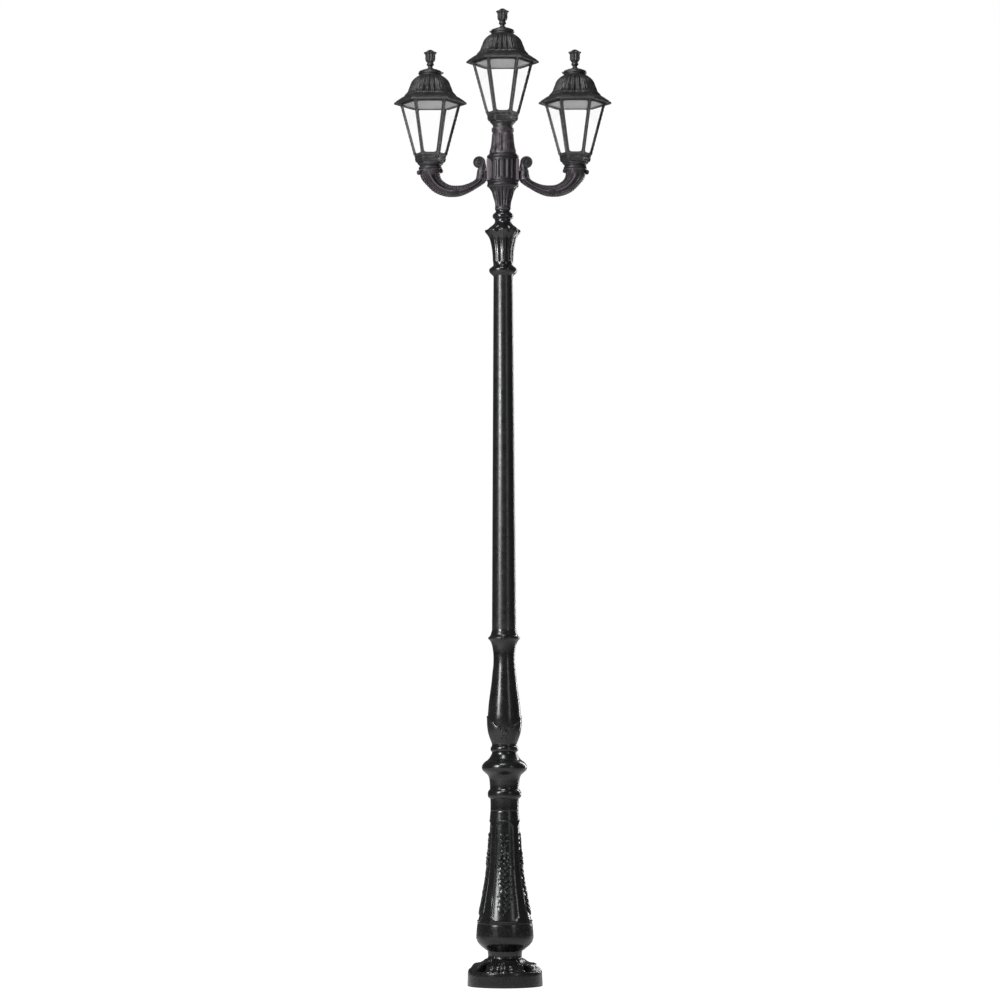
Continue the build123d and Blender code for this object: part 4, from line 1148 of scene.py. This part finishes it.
@dataclass
class Arm:
    """Swept arm with its flange, crozier scroll, socket and curls; the right one, then mirrored."""

    reach: float = 253.0
    seat_z: float = 2840.0
    flange_x: float = 57.0
    drum_r: float = 50.0
    flange_low: float = 2791.0
    flange_top: float = 2866.0
    flange_half: float = 22.0
    low_x: float = 172.0
    sag: float = 86.0
    socket_r: float = 41.0
    socket_h: float = 9.0
    nipple_r: float = 12.0
    nipple_bore: float = 7.0
    nipple_top: float = 2858.0
    scroll_x: float = 82.5
    scroll_z: float = 2855.5
    scroll_r: float = 22.0
    scroll_band: float = 10.0
    scroll_turns: float = 1.7
    scroll_half: float = 11.5
    curl_r: float = 7.5
    bead_pitch: float = 8.0

    def build(self) -> None:
        """Makes both arms."""
        form = Form()
        self.sweep(form)
        self.neck(form)
        self.flange(form)
        self.scroll(form)
        self.socket(form)
        form.make("arm_casting_right", Finish.HUB, ["arm_right"], crease=CARVED_EDGE)
        form.mirrored().make("arm_casting_left", Finish.HUB, ["arm_left"], crease=CARVED_EDGE)

    def edges(self) -> tuple:
        """Lower and upper edge of the arm from the flange to the socket, in step.

        Each is a smooth curve through points, whose heights are from the lantern's seat.

        Returns:
            The (x, z) rows of both.
        """
        x, z, end = self.flange_x, self.seat_z, self.reach
        lower = flowing([
            (x, z - 44.0), (x + 3.0, z - 52.0), (x + 9.0, z - 58.5), (x + 18.0, z - 65.0),
            (x + 36.0, z - 76.4), (x + 62.1, z - 91.4), (x + 91.0, z - 103.0),
            (self.low_x, z - self.sag - 20.0), (end - 51.8, z - 104.0), (end - 14.3, z - 89.3),
            (end + 12.5, z - 65.0), (end + 33.0, z - 38.2), (end + 38.0, z - 10.0),
        ], 18)
        upper = flowing([
            (x + 31.0, z - 8.0), (x + 34.0, z - 22.0), (x + 35.5, z - 33.0), (x + 39.0, z - 43.0),
            (x + 47.0, z - 49.5), (x + 59.0, z - 55.6), (x + 82.0, z - 63.4),
            (self.low_x - 10.0, z - self.sag + 20.5), (end - 69.6, z - 63.6), (end - 51.8, z - 54.9),
            (end - 39.0, z - 43.0), (end - 34.0, z - 27.1), (end - 36.5, z - 10.0),
        ], 18)
        return lower, upper

    def sweep(self, form: Form) -> None:
        """Arm whose section has a round middle rib, two hollows and beaded edge bands.

        A point lies at the middle of the two edges plus w times half the way between them. At the
        share w across the arm the half depth is a flat web, a hump on the middle and a hump near
        each edge; the edge hump beats with the length along the arm, one bead to each pitch.

        Args:
            form: the arm's form, which it adds to.
        """
        lower, upper = self.edges()
        middle, half = (lower + upper) / 2, (lower - upper) / 2
        along = np.concatenate([[0.0], np.cumsum(np.linalg.norm(np.diff(middle, axis=0), axis=1))])
        even_along = np.arange(0.0, along[-1], self.bead_pitch / 5)
        middle, half = (
            np.stack([np.interp(even_along, along, edge[:, k]) for k in range(2)], axis=1)
            for edge in (middle, half)
        )
        share = even_along / along[-1]
        stations = (0.0, 0.1, 0.25, 0.45, 0.62, 0.75, 0.86, 0.94, 1.0)
        depths = np.interp(share, stations, (19.0, 15.5, 13.2, 13.2, 15.0, 19.5, 27.0, 33.0, 36.0))[:, None]
        outline = superellipse(96, 2.6)
        w, side = outline[None, :, 0], outline[None, :, 1]
        beads = 0.5 + 0.5 * np.cos(TURN * even_along / self.bead_pitch)[:, None]
        round_end = smooth((share - 0.82) / 0.18)[:, None]
        web = 0.46 + 0.54 * hump(w, 0.26) + (0.16 + 0.26 * beads) * hump(np.abs(w) - 0.84, 0.10)
        web = web + 0.14 * hump(np.abs(w) - 0.55, 0.07)
        depth = depths * side * (web + (1.0 - web) * round_end)
        w = w * (1.0 + 0.055 * (beads - 0.5) * (1.0 - round_end))
        x, z = (middle[:, k, None] + w * half[:, k, None] for k in range(2))
        form.tube(np.stack([x, depth, z], axis=-1))
        oval = turned(flowing([(0.4, 4.0), (4.0, 3.6), (7.0, 1.6), (8.2, -1.0)], 5), 32)
        for face in (-1.0, 1.0):
            form.tube(np.stack([
                self.low_x - 2.0 + 2.2 * oval[..., 0], face * (12.0 + oval[..., 2]),
                self.seat_z - self.sag + 0.4 + 0.75 * oval[..., 1],
            ], axis=-1))

    def neck(self, form: Form) -> None:
        """Stalk beside the flange that carries the scroll, narrower upwards, with a middle rib.

        Args:
            form: the arm's form, which it adds to.
        """
        x, z = self.flange_x, self.seat_z
        hub_side = flowing([
            (x, z - 47.0), (x, z - 20.0), (x + 0.4, z - 4.0), (x + 2.2, z + 8.0), (x + 4.4, z + 18.0),
        ], 8)
        far_side = flowing([
            (x + 37.0, z - 40.0), (x + 34.6, z - 26.0), (x + 31.6, z - 10.0), (x + 25.6, z + 1.0),
            (x + 16.0, z + 12.0),
        ], 8)
        middle, half = (hub_side + far_side) / 2, (far_side - hub_side) / 2
        outline = superellipse(64, 3.0)
        w, side = outline[None, :, 0], outline[None, :, 1]
        web = 0.78 + 0.22 * hump(w, 0.3) + 0.16 * hump(np.abs(w) - 0.8, 0.12)
        depth = np.linspace(15.0, self.scroll_half, len(middle))[:, None] * side * web
        x, z = (middle[:, k, None] + w * half[:, k, None] for k in range(2))
        form.tube(np.stack([x, depth, z], axis=-1))

    def flange(self, form: Form) -> None:
        """Plate whose back follows the drum: its section is an arc of the drum's radius, x =
        sqrt(radius^2 - y^2), and a face that eases back at its sides.

        Args:
            form: the arm's form, which it adds to.
        """
        half = self.flange_half
        y_back = np.linspace(-half + 1.0, half - 1.0, 17)
        back = np.stack([np.sqrt((self.drum_r + 0.1) ** 2 - y_back**2), y_back], axis=1)
        y_face = np.linspace(half - 1.0, -half + 1.0, 17)
        ease = 1.6 * np.abs(y_face / half) ** 8
        face = np.stack([self.flange_x - ease, y_face], axis=1)
        section = np.vstack([back, [(self.flange_x - 3.5, half)], face, [(self.flange_x - 3.5, -half)]])
        rise = np.linspace(self.flange_low + 0.8, self.flange_top - 0.8, 30)
        z = np.concatenate([[self.flange_low], rise, [self.flange_top]])
        inset = np.concatenate([[0.8], 0.0 * rise, [0.8]])
        x = section[None, :, 0] - inset[:, None] * (section[None, :, 0] > 54.0)
        y = section[None, :, 1] * (1.0 - inset[:, None] / half)
        form.tube(np.stack([x, y, np.broadcast_to(z[:, None], x.shape)], axis=-1))

    def scroll(self, form: Form) -> None:
        """Band that curls over the neck and in on itself, with shell grooves on its sides.

        Its middle runs at angle 200 degrees less 360 * turns * t, at a radius that holds for the
        first half turn and then falls as a smooth step. A thin disc closes it and a hub fills its eye.

        Args:
            form: the arm's form, which it adds to.
        """
        t = np.linspace(0.0, 1.0, 110)
        angle = np.radians(200.0 - 360.0 * self.scroll_turns * t)
        band = self.scroll_band * (1.0 - 0.45 * t)
        r = self.scroll_r * (1.0 - 0.64 * smooth((t - 0.22) / 0.9)) - band / 2
        path = np.stack([self.scroll_x + r * np.cos(angle), self.scroll_z + r * np.sin(angle)], axis=1)
        u, v = superellipse(40, 2.2).T
        grooved = np.stack([u, v * (1.0 - 0.22 * hump(u, 0.25))], axis=-1)
        form.tube(carried(path, 0.5 * band, self.scroll_half * (1.0 - 0.12 * t), grooved))
        web = self.scroll_r - self.scroll_band + 3.0
        for profile in (
            [(0.3, -12.4), (3.0, -11.8), (4.2, -9.0), (4.2, 9.0), (3.0, 11.8), (0.3, 12.4)],
            [(0.3, -7.0), (web - 1.0, -6.4), (web, -5.0), (web, 5.0), (web - 1.0, 6.4), (0.3, 7.0)],
        ):
            form.tube(lying(turned(flowing(profile, 5), 36), self.scroll_x, self.scroll_z))

    def socket(self, form: Form) -> None:
        """Ring that seats the lantern, its threaded nipple, and the curls and leaves under it.

        Args:
            form: the arm's form, which it adds to.
        """
        base, seat = self.seat_z - self.socket_h, self.seat_z
        profile = even(flowing([
            (self.nipple_bore, base - 3.0, "sharp"), (34.0, base - 3.0, "sharp"), (38.8, base - 1.0),
            (self.socket_r, base + 2.0), (self.socket_r, base + 5.5), (39.0, base + 7.0, "sharp"),
            (39.6, base + 8.2), (38.6, seat, "sharp"), (self.nipple_r, seat, "sharp"),
            (self.nipple_r, self.nipple_top, "sharp"), (self.nipple_bore, self.nipple_top, "sharp"),
            (self.nipple_bore, base - 2.0, "sharp"),
        ], 5), 3.0)
        form.ring(turned(profile, 96, None, (self.reach, 0.0)))
        for x, z, size in (
            (self.reach + self.socket_r - 0.5, base - self.curl_r - 3.0, 1.0),
            (self.reach - self.socket_r + 3.5, base - self.curl_r + 2.0, 0.9),
        ):
            knob = turned(flowing([
                (0.3, -11.0), (3.4, -10.4), (4.4, -8.6, "sharp"), (6.6, -8.8), (self.curl_r, -6.4),
                (self.curl_r - 0.8, 0.0), (self.curl_r, 6.4), (6.6, 8.8), (4.4, 8.6, "sharp"),
                (3.4, 10.4), (0.3, 11.0),
            ], 5), 36)
            form.tube(lying(knob, x, z, size))
        for side in (-1.0, 1.0):
            for lean, size in ((0.0, 30.0), (-30.0, 24.0), (30.0, 24.0)):
                self.socket_leaf(form, side, lean, size)

    def socket_leaf(self, form: Form, side: float, lean: float, size: float) -> None:
        """Leaf that hangs from the socket ring on one face of the arm.

        Args:
            form: the arm's form, which it adds to.
            side: -1 for the front, 1 for the back.
            lean: degrees from straight down.
            size: the leaf's length.
        """
        shape = leaf(size, 7.5, 4.0, 0.4)
        c, s = math.cos(math.radians(lean)), math.sin(math.radians(lean))
        x = c * shape[..., 0] + s * shape[..., 1]
        drop = c * shape[..., 1] - s * shape[..., 0]
        y = side * (34.0 - 0.30 * drop - 0.012 * x**2 + shape[..., 2])
        z = self.seat_z - self.socket_h - drop
        form.tube(np.stack([self.reach - 2.0 + x, y, z], axis=-1))


# ---------------------------------------------------------------- lanterns
class Site(Enum):
    """The three lanterns."""

    LEFT = "left"
    CENTRE = "centre"
    RIGHT = "right"

    def has_core(self) -> bool:
        """True for the lantern that stands on the core tube."""
        return self is Site.CENTRE


@dataclass
class Lantern:
    """One six-sided lantern; heights are from its cup's lower edge."""

    site: Site
    neck_r: float = 35.5
    cup_low_r: float = 51.3
    cage_r: float = 56.0
    cage_top_r: float = 106.0
    cage_z: float = 24.0
    cage_h: float = 188.0
    wall: float = 4.6
    rib: float = 8.2
    rail_low: float = 6.0
    rail_top: float = 11.0
    window_corner: float = 9.0
    cavity_r: float = 35.0
    cavity_sunk: float = 9.0
    roof_r: float = 127.6
    roof_h: float = 101.4
    ledge: float = 11.4
    skirt_r: float = 110.0
    inner_r: float = 98.0
    stud_hole: float = 5.0
    cap_r: float = 42.0
    cap_h: float = 20.6
    petals: int = 24
    roof_crease: float = 50.0

    def build(self) -> None:
        """Makes the lantern's pieces and dresses the CAD nodes that stay."""
        name = self.site.value
        low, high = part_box(f"cage_{name}")
        self.x = (low.x + high.x) / 2 / MM
        self.z = low.z / MM - self.cage_z
        self.neck_h = self.z - low_z(f"lantern_base_{name}")
        self.lip = low_z(f"roof_shell_{name}") - self.z
        self.base()
        self.cage()
        self.roof()
        self.cap()
        self.finial()
        for node, finish in (
            ("lock_nut", Finish.PLATED), ("cage_panes", Finish.GLASS), ("light_tray", Finish.PLATED),
            ("roof_gasket", Finish.SEAL), ("led_board", Finish.BOARD), ("diffuser", Finish.CEILING),
            ("cap_screw", Finish.LANTERN),
        ):
            finish_node(f"{node}_{name}", finish)

    def place(self, form: Form, piece: str, node: str, body: str, crease: float = CAST_EDGE) -> None:
        """Moves a form to this lantern's place and makes it.

        Args:
            form: the form, about the lantern's own axis.
            piece: the piece's name, less the lantern's.
            node: the CAD node's name, less the lantern's.
            body: the body that it moves with.
            crease: angle in degrees past which an edge stays sharp.
        """
        name = self.site.value
        form.moved(self.x, self.z).make(f"{piece}_{name}", Finish.LANTERN, [f"{node}_{name}"], body, crease)

    def base(self) -> None:
        """Round neck that flares into a six-sided cup with stepped, scrolled corners."""
        bore = 21.6 if self.site.has_core() else 12.4
        rim, low = self.cage_z, -self.neck_h
        profile = even(flowing([
            (bore, low, "sharp"), (self.neck_r - 0.6, low, "sharp"), (self.neck_r, low + 0.8),
            (self.neck_r - 0.6, low + 3.0), (self.neck_r - 0.2, -13.0, "sharp"), (38.4, -12.0),
            (39.4, -10.0),
            (40.6, -8.0, "sharp"), (44.0, -6.4), (45.4, -3.4), (self.cup_low_r - 4.2, 0.0, "sharp"),
            (self.cup_low_r - 0.6, 0.6), (self.cup_low_r, 3.0), (self.cup_low_r + 0.6, 8.0),
            (self.cup_low_r + 2.6, 10.0, "sharp"), (self.cup_low_r + 3.6, 12.5), (54.9, 17.0), (55.6, 21.0),
            (self.cage_r, rim, "sharp"), (self.cage_r - 6.0, rim, "sharp"), (self.cage_r - 9.0, 20.0),
            (self.cavity_r + 2.0, 16.0, "sharp"), (self.cavity_r, 14.0),
            (self.cavity_r, -self.cavity_sunk, "sharp"),
            (bore, -self.cavity_sunk, "sharp"), (bore, low + 1.0, "sharp"),
        ], 5), 2.0)

        def relief(angle: Array, z: Array, r: Array) -> tuple:
            """Circle to hexagon by height and radius, with a boss at each corner of the cup.

            Args:
                angle: angles round the axis.
                z: heights.
                r: radii.

            Returns:
                What is added to the radius and to the height.
            """
            share = smooth((z + 9.0) / 8.0) * smooth((r - self.cavity_r - 0.5) / 8.0)
            corner = hump(np.mod(angle + TURN / 12, TURN / 6) - TURN / 12, 0.17)
            outer = smooth((r - 47.0) / 3.0)
            boss = outer * corner * (1.6 * hump(z - 7.0, 4.0) - 1.6 * hump(z - 14.0, 3.0))
            panel = -1.3 * outer * smooth((0.8 - 3.2 * corner) / 0.4) * hump(z - 15.5, 3.6)
            return r * (six_sided(angle, share) - 1.0) + boss + panel, np.zeros_like(z)

        form = Form().ring(turned(profile, 192, relief))
        self.place(form, "lantern_cup", "lantern_base", "post")

    def cage(self) -> None:
        """Six frames, each a moulding carried round its round-cornered window.

        A point of a frame is the blend of the side's outline and the window's outline at the same
        share of the way round, plus its depth along the side's normal.
        """
        lean = math.atan2((self.cage_top_r - self.cage_r) * math.cos(TURN / 12), self.cage_h)
        slope = self.cage_h / math.cos(lean)
        widen = (self.cage_top_r - self.cage_r) / 2 / slope
        outer = self.corners(0.0, slope, 0.0, widen)
        inner = self.corners(self.rail_low, slope - self.rail_top, self.rib, widen)
        edge, window = self.outline(outer, False), self.outline(inner, True)
        mitre = self.wall * math.tan(TURN / 12)
        pulled = edge + (window - edge) / np.linalg.norm(window - edge, axis=1, keepdims=True) * mitre
        section = (
            (edge, 0.0), (edge + 0.45 * (window - edge), 0.0), (edge + 0.60 * (window - edge), 0.5),
            (edge + 0.86 * (window - edge), 0.5), (edge + 0.98 * (window - edge), -0.3), (window, -1.2),
            (window, -self.wall), (pulled, -self.wall),
        )
        flat = np.stack([points for points, _ in section])
        depth = np.broadcast_to(np.array([d for _, d in section])[:, None], flat.shape[:2])
        form = Form()
        for side in range(6):
            turn = TURN / 12 + TURN / 6 * side
            out = self.cage_r * math.cos(TURN / 12) + flat[..., 1] * math.sin(lean) + depth * math.cos(lean)
            z = self.cage_z + flat[..., 1] * math.cos(lean) - depth * math.sin(lean)
            x = out * math.cos(turn) - flat[..., 0] * math.sin(turn)
            y = out * math.sin(turn) + flat[..., 0] * math.cos(turn)
            form.ring(np.stack([x, y, z], axis=-1))
            form.tube(self.corner_bead(TURN / 6 * side))
        self.place(form, "lantern_cage", "cage", "post", SHARP_EDGE)

    def corner_bead(self, turn: float) -> Array:
        """Slim round rod up a corner, whose radius swells as a cosine of the height.

        Args:
            turn: the corner's angle.

        Returns:
            Points as rows x steps x 3.
        """
        z = np.linspace(self.cage_z + 0.6, self.cage_z + self.cage_h - 0.6, 120)[:, None]
        share = (z - self.cage_z) / self.cage_h
        out = self.cage_r + (self.cage_top_r - self.cage_r) * share - 1.0
        r = 3.1 + 0.5 * np.cos(TURN * z / 15.0)
        a = (np.arange(16) * TURN / 16)[None, :]
        across, deep = r * np.sin(a), out + r * np.cos(a)
        x = deep * math.cos(turn) - across * math.sin(turn)
        y = deep * math.sin(turn) + across * math.cos(turn)
        return np.stack([x, y, np.broadcast_to(z, x.shape)], axis=-1)

    def corners(self, low: float, high: float, margin: float, widen: float) -> Array:
        """Four corners of a flat outline up one side.

        Args:
            low: how far up the side its foot is.
            high: how far up the side its top is.
            margin: how far in from the side's edges it stays.
            widen: how much half the side's width grows with each millimetre up.

        Returns:
            (across, up) rows.
        """
        foot, head = (self.cage_r / 2 + widen * v - margin for v in (low, high))
        return np.array([(-foot, low), (foot, low), (head, high), (-head, high)])

    def outline(self, corners: Array, rounded: bool) -> Array:
        """Outline through four corners, in step for a sharp and a rounded one.

        Each corner takes the stretch of one corner length on both sides of it; rounded, the stretch
        is the quadratic curve with the corner as its control point.

        Args:
            corners: (across, up) of the four.
            rounded: True for round corners.

        Returns:
            (across, up) rows.
        """
        before = np.roll(corners, 1, axis=0) - corners
        after = np.roll(corners, -1, axis=0) - corners
        start = corners + before / np.linalg.norm(before, axis=1, keepdims=True) * self.window_corner
        end = corners + after / np.linalg.norm(after, axis=1, keepdims=True) * self.window_corner
        t = np.linspace(0.0, 1.0, 11)[None, :, None]
        p, c, q = start[:, None], corners[:, None], end[:, None]
        if rounded:
            arc = (1 - t) ** 2 * p + 2 * t * (1 - t) * c + t**2 * q
        else:
            arc = np.where(t < 0.5, p + (c - p) * 2 * t, c + (q - c) * (2 * t - 1))
        following = np.roll(start, -1, axis=0)[:, None]
        run = q + (following - q) * np.linspace(0.0, 1.0, 8)[None, 1:-1, None]
        return np.concatenate([arc, run], axis=1).reshape(-1, 2)

    def roof(self) -> None:
        """Bell roof: a thick lip, a plain sloped border and petals that climb to the cap."""
        r, h, ledge = self.roof_r, self.roof_h, self.ledge
        profile = even(flowing([
            (self.inner_r, ledge, "sharp"), (self.skirt_r, ledge, "sharp"), (self.skirt_r, 8.0, "sharp"),
            (r - 1.6, 0.0, "sharp"), (r, 1.0, "sharp"), (r - 1.2, 6.8, "sharp"), (r - 2.6, 7.8, "sharp"),
            (r - 6.0, 9.2), (119.0, 12.4), (112.0, 17.0), (103.6, 22.6), (97.0, 26.8), (91.4, 29.6, "sharp"),
            (89.6, 33.4),
            (84.6, 38.4), (79.4, 44.6), (76.4, 52.0), (72.6, 60.4), (68.4, 68.4), (65.2, 75.4), (60.8, 82.4),
            (55.0, 88.8), (47.4, 95.0), (42.0, 99.4), (39.3, h, "sharp"), (self.stud_hole, h, "sharp"),
            (self.stud_hole, h - 6.0, "sharp"), (33.0, h - 6.5, "sharp"), (55.0, 70.0), (74.0, 36.0),
            (self.inner_r - 6.0, 20.0), (self.inner_r, 15.0, "sharp"),
        ], 6), 1.8)

        def relief(angle: Array, z: Array, r: Array) -> tuple:
            """Hexagon that rounds off upwards, with petals.

            A petal swells as a lobe between its valleys, from a round tip that lies on the border;
            a second, narrower row stands between them from half way up. The inner skin stays plain.

            Args:
                angle: angles round the axis.
                z: heights.
                r: radii.

            Returns:
                What is added to the radius and to the height.
            """
            outside = smooth((z - 10.5) / 0.5) * smooth((r - 39.5) / 3.0)
            top = smooth((z - 33.0) / (h - 33.0))
            share = 1.0 - 0.92 * top
            heights, radii = (11.0, 30.0, 40.0, 60.0, 80.0, 96.0), (99.0, 88.0, 77.0, 66.0, 52.0, 34.0)
            inner_skin = (z < h - 5.9) & (r < np.interp(z, heights, radii))
            on = np.where(inner_skin, 0.0, outside)
            lobe = lobes(angle, self.petals)
            tip = 34.5 - 6.0 * lobe
            petal = smooth((z - tip) / 2.2) * smooth((h - z) / 5.0)
            rib = hump(lobe - 1.0, 0.035)
            second = smooth((z - 58.0 - 10.0 * lobe) / 3.0) * smooth((h - z) / 8.0)
            swell = petal * (6.4 * lobe**0.6 - 3.2 - 1.2 * rib) + second * 2.6 * (1.0 - lobe) ** 0.8
            swell = swell + petal * 0.35 * np.cos(3.0 * self.petals * angle)
            return r * (six_sided(angle, share) - 1.0) + on * swell, np.zeros_like(z)

        form = Form().ring(turned(profile, 384, relief)).moved(0.0, self.lip)
        self.place(form, "roof_bell", "roof_shell", f"roof_{self.site.value}", self.roof_crease)

    def cap(self) -> None:
        """Low round cap with a rolled edge."""
        profile = even(flowing([
            (self.stud_hole, 0.0, "sharp"), (38.0, 0.0, "sharp"), (39.4, 1.0), (39.0, 4.4, "sharp"),
            (41.4, 6.0), (self.cap_r, 8.4), (41.2, 11.0, "sharp"), (39.4, 12.2), (39.6, 14.4),
            (36.4, 16.6, "sharp"), (31.0, 17.6), (27.6, 18.8), (26.4, self.cap_h, "sharp"),
            (self.stud_hole, self.cap_h, "sharp"), (self.stud_hole, 1.0, "sharp"),
        ], 5), 2.5)
        form = Form().ring(turned(profile, 112)).moved(0.0, self.lip + self.roof_h)
        self.place(form, "roof_cap", "vent_cap", f"roof_{self.site.value}")

    def finial(self) -> None:
        """Foot, neck, bead and a tulip of upright petals with a flared crown."""
        name = self.site.value
        base = low_z(f"finial_{name}") - self.z
        height = (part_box(f"finial_{name}")[1].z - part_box(f"finial_{name}")[0].z) / MM
        crown = height - 9.0
        profile = even(flowing([
            (4.3, 22.0, "sharp"), (4.3, 0.0, "sharp"), (13.2, 0.0, "sharp"), (13.7, 1.4), (12.8, 4.0),
            (9.4, 6.2, "sharp"), (8.2, 8.4), (8.0, 11.0), (9.0, 13.4, "sharp"), (11.6, 15.0), (12.9, 18.6),
            (12.0, 22.0), (10.4, 23.6, "sharp"), (11.4, 26.0), (14.6, 30.0), (16.6, 35.0), (17.2, 42.0),
            (17.0, 50.0), (18.4, 55.0), (21.0, 58.0), (22.2, 60.4), (21.6, 62.4, "sharp"),
            (18.6, crown + 1.4), (13.6, crown + 3.4), (9.4, crown + 6.2), (5.4, height - 0.8), (1.6, height),
        ], 5), 0.9)

        def relief(angle: Array, z: Array, r: Array) -> tuple:
            """Six petals: valleys cut the tulip and its crown, whose rim dips at them.

            Args:
                angle: angles round the axis.
                z: heights.
                r: radii.

            Returns:
                What is added to the radius and to the height.
            """
            lobe = lobes(angle + TURN / 12, 6)
            on = smooth((z - 27.0) / 8.0) * smooth((crown + 5.0 - z) / 6.0) * (r > 6.0)
            rim = hump(z - 60.5, 4.0) * (r > 6.0)
            swell = -0.17 * r * (1.0 - lobe) ** 1.3 + 0.6 * hump(lobe - 1.0, 0.05)
            return on * swell, -4.0 * rim * (1.0 - lobe)

        form = Form().tube(turned(profile, 120, relief)).moved(0.0, base)
        self.place(form, "finial_tulip", "finial", f"finial_{name}", CARVED_EDGE)


# ---------------------------------------------------------------- stage
@dataclass(frozen=True)
class Lamp:
    """Soft upright panel of light."""

    name: str
    spot: tuple
    aim: tuple
    size: tuple
    power: float

    def build(self) -> None:
        """Makes the panel, which faces its aim."""
        data = bpy.data.lights.new(self.name, "AREA")
        data.shape, data.size, data.size_y, data.energy = "RECTANGLE", *self.size, self.power
        lamp = bpy.data.objects.new(self.name, data)
        lamp.location = self.spot
        lamp.rotation_euler = (Vector(self.aim) - Vector(self.spot)).to_track_quat("-Z", "Y").to_euler()
        bpy.context.scene.collection.objects.link(lamp)


@dataclass
class Stage:
    """Camera, lights, floor and backdrop."""

    distance: float = 11.8
    eye_z: float = 0.89
    aim_z: float = 1.6738
    aim_x: float = -0.0130
    roll: float = -0.147
    lens: float = 122.67
    backdrop: float = 1.0
    mirrored: float = 0.11
    ambient: float = 0.09
    paper: float = 0.86
    paper_glow: float = 1.24
    paper_share: float = 0.82
    paper_half: float = 60.0
    paper_sunk: float = 0.0005
    lamps: tuple = (
        Lamp("key", (-3.6, -3.9, 3.2), (0.0, 0.0, 2.2), (1.3, 3.2), 270.0),
        Lamp("fill", (3.6, -4.6, 2.6), (0.0, 0.0, 1.7), (0.8, 3.2), 26.0),
        Lamp("edge", (2.4, 3.2, 2.2), (0.0, 0.0, 1.7), (0.5, 3.6), 70.0),
        Lamp("top", (-0.8, -2.6, 6.2), (0.0, 0.0, 2.8), (1.4, 1.4), 120.0),
        Lamp("glint", (-1.7, -2.3, 2.4), (0.0, 0.0, 0.5), (0.35, 0.35), 34.0),
    )

    def build(self) -> None:
        """Makes everything that isn't the object."""
        self.camera()
        self.world()
        self.floor()
        for lamp in self.lamps:
            lamp.build()

    def camera(self) -> None:
        """Camera at the photograph's height and angle."""
        data = bpy.data.cameras.new("camera")
        data.lens, data.sensor_width = self.lens, 36.0
        data.clip_end = 100.0
        camera = bpy.data.objects.new("camera", data)
        camera.location = (self.aim_x, -self.distance, self.eye_z)
        aim = Vector((self.aim_x, 0.0, self.aim_z)) - camera.location
        tilt = Quaternion((0.0, 0.0, 1.0), math.radians(self.roll))
        camera.rotation_euler = (aim.to_track_quat("-Z", "Y") @ tilt).to_euler()
        bpy.context.scene.collection.objects.link(camera)
        bpy.context.scene.camera = camera

    def seen(self, tree: bpy.types.NodeTree) -> Socket:
        """What tells the rays that see the background from the rest.

        Args:
            tree: the nodes to add to.

        Returns:
            1 for camera rays and rays through glass, else 0.
        """
        path = tree.nodes.new("ShaderNodeLightPath")
        node = tree.nodes.new("ShaderNodeMath")
        node.operation = "MAXIMUM"
        tree.links.new(path.outputs["Is Camera Ray"], node.inputs[0])
        tree.links.new(path.outputs["Is Transmission Ray"], node.inputs[1])
        return node.outputs[0]

    def world(self) -> None:
        """White for what the camera sees, also through glass, grey for gloss, less for the rest."""
        world = bpy.data.worlds.new("studio")
        bpy.context.scene.world = world
        world.use_nodes = True
        tree = world.node_tree
        level = tree.nodes.new("ShaderNodeMapRange")
        level.inputs["To Min"].default_value = self.ambient
        level.inputs["To Max"].default_value = self.mirrored
        path = tree.nodes.new("ShaderNodeLightPath")
        tree.links.new(path.outputs["Is Glossy Ray"], level.inputs["Value"])
        strength = tree.nodes.new("ShaderNodeMapRange")
        strength.inputs["To Max"].default_value = self.backdrop
        tree.links.new(self.seen(tree), strength.inputs["Value"])
        tree.links.new(level.outputs["Result"], strength.inputs["To Min"])
        background = tree.nodes["Background"]
        background.inputs["Color"].default_value = (1.0, 1.0, 1.0, 1.0)
        tree.links.new(strength.outputs["Result"], background.inputs["Strength"])

    def floor(self) -> None:
        """Wide pale floor that mostly shows as white and keeps a soft shadow."""
        mesh = bpy.data.meshes.new("floor")
        half = self.paper_half
        corners = [(-half, -half, 0), (half, -half, 0), (half, half, 0), (-half, half, 0)]
        mesh.from_pydata(corners, [], [(0, 1, 2, 3)])
        floor = bpy.data.objects.new("floor", mesh)
        floor.location.z = -self.paper_sunk
        bpy.context.scene.collection.objects.link(floor)
        material = bpy.data.materials.new("floor_paper")
        material.use_nodes = True
        tree = material.node_tree
        shader = tree.nodes["Principled BSDF"]
        shader.inputs["Base Color"].default_value = (self.paper, self.paper, self.paper, 1.0)
        shader.inputs["Roughness"].default_value = 0.9
        shader.inputs["Specular IOR Level"].default_value = 0.1
        glow = tree.nodes.new("ShaderNodeEmission")
        glow.inputs["Strength"].default_value = self.paper_glow * self.backdrop
        share = tree.nodes.new("ShaderNodeMapRange")
        share.inputs["To Max"].default_value = self.paper_share
        tree.links.new(self.seen(tree), share.inputs["Value"])
        mix = tree.nodes.new("ShaderNodeMixShader")
        tree.links.new(share.outputs["Result"], mix.inputs["Fac"])
        tree.links.new(shader.outputs["BSDF"], mix.inputs[1])
        tree.links.new(glow.outputs["Emission"], mix.inputs[2])
        tree.links.new(mix.outputs["Shader"], tree.nodes["Material Output"].inputs["Surface"])
        mesh.materials.append(material)


def main() -> None:
    """Builds the stage and every sub-assembly in order."""
    logging.basicConfig(level=logging.INFO, format="%(name)s %(message)s")
    bpy.context.scene.view_settings.view_transform = "Standard"
    Stage().build()
    for assembly in (Foot(), Vase(), Column(), Hub(), Arm(), *(Lantern(site) for site in Site)):
        assembly.build()
    for node in ("core_tube", "arm_screws"):
        finish_node(node, Finish.PLATED)


if __name__ == "__main__":
    main()
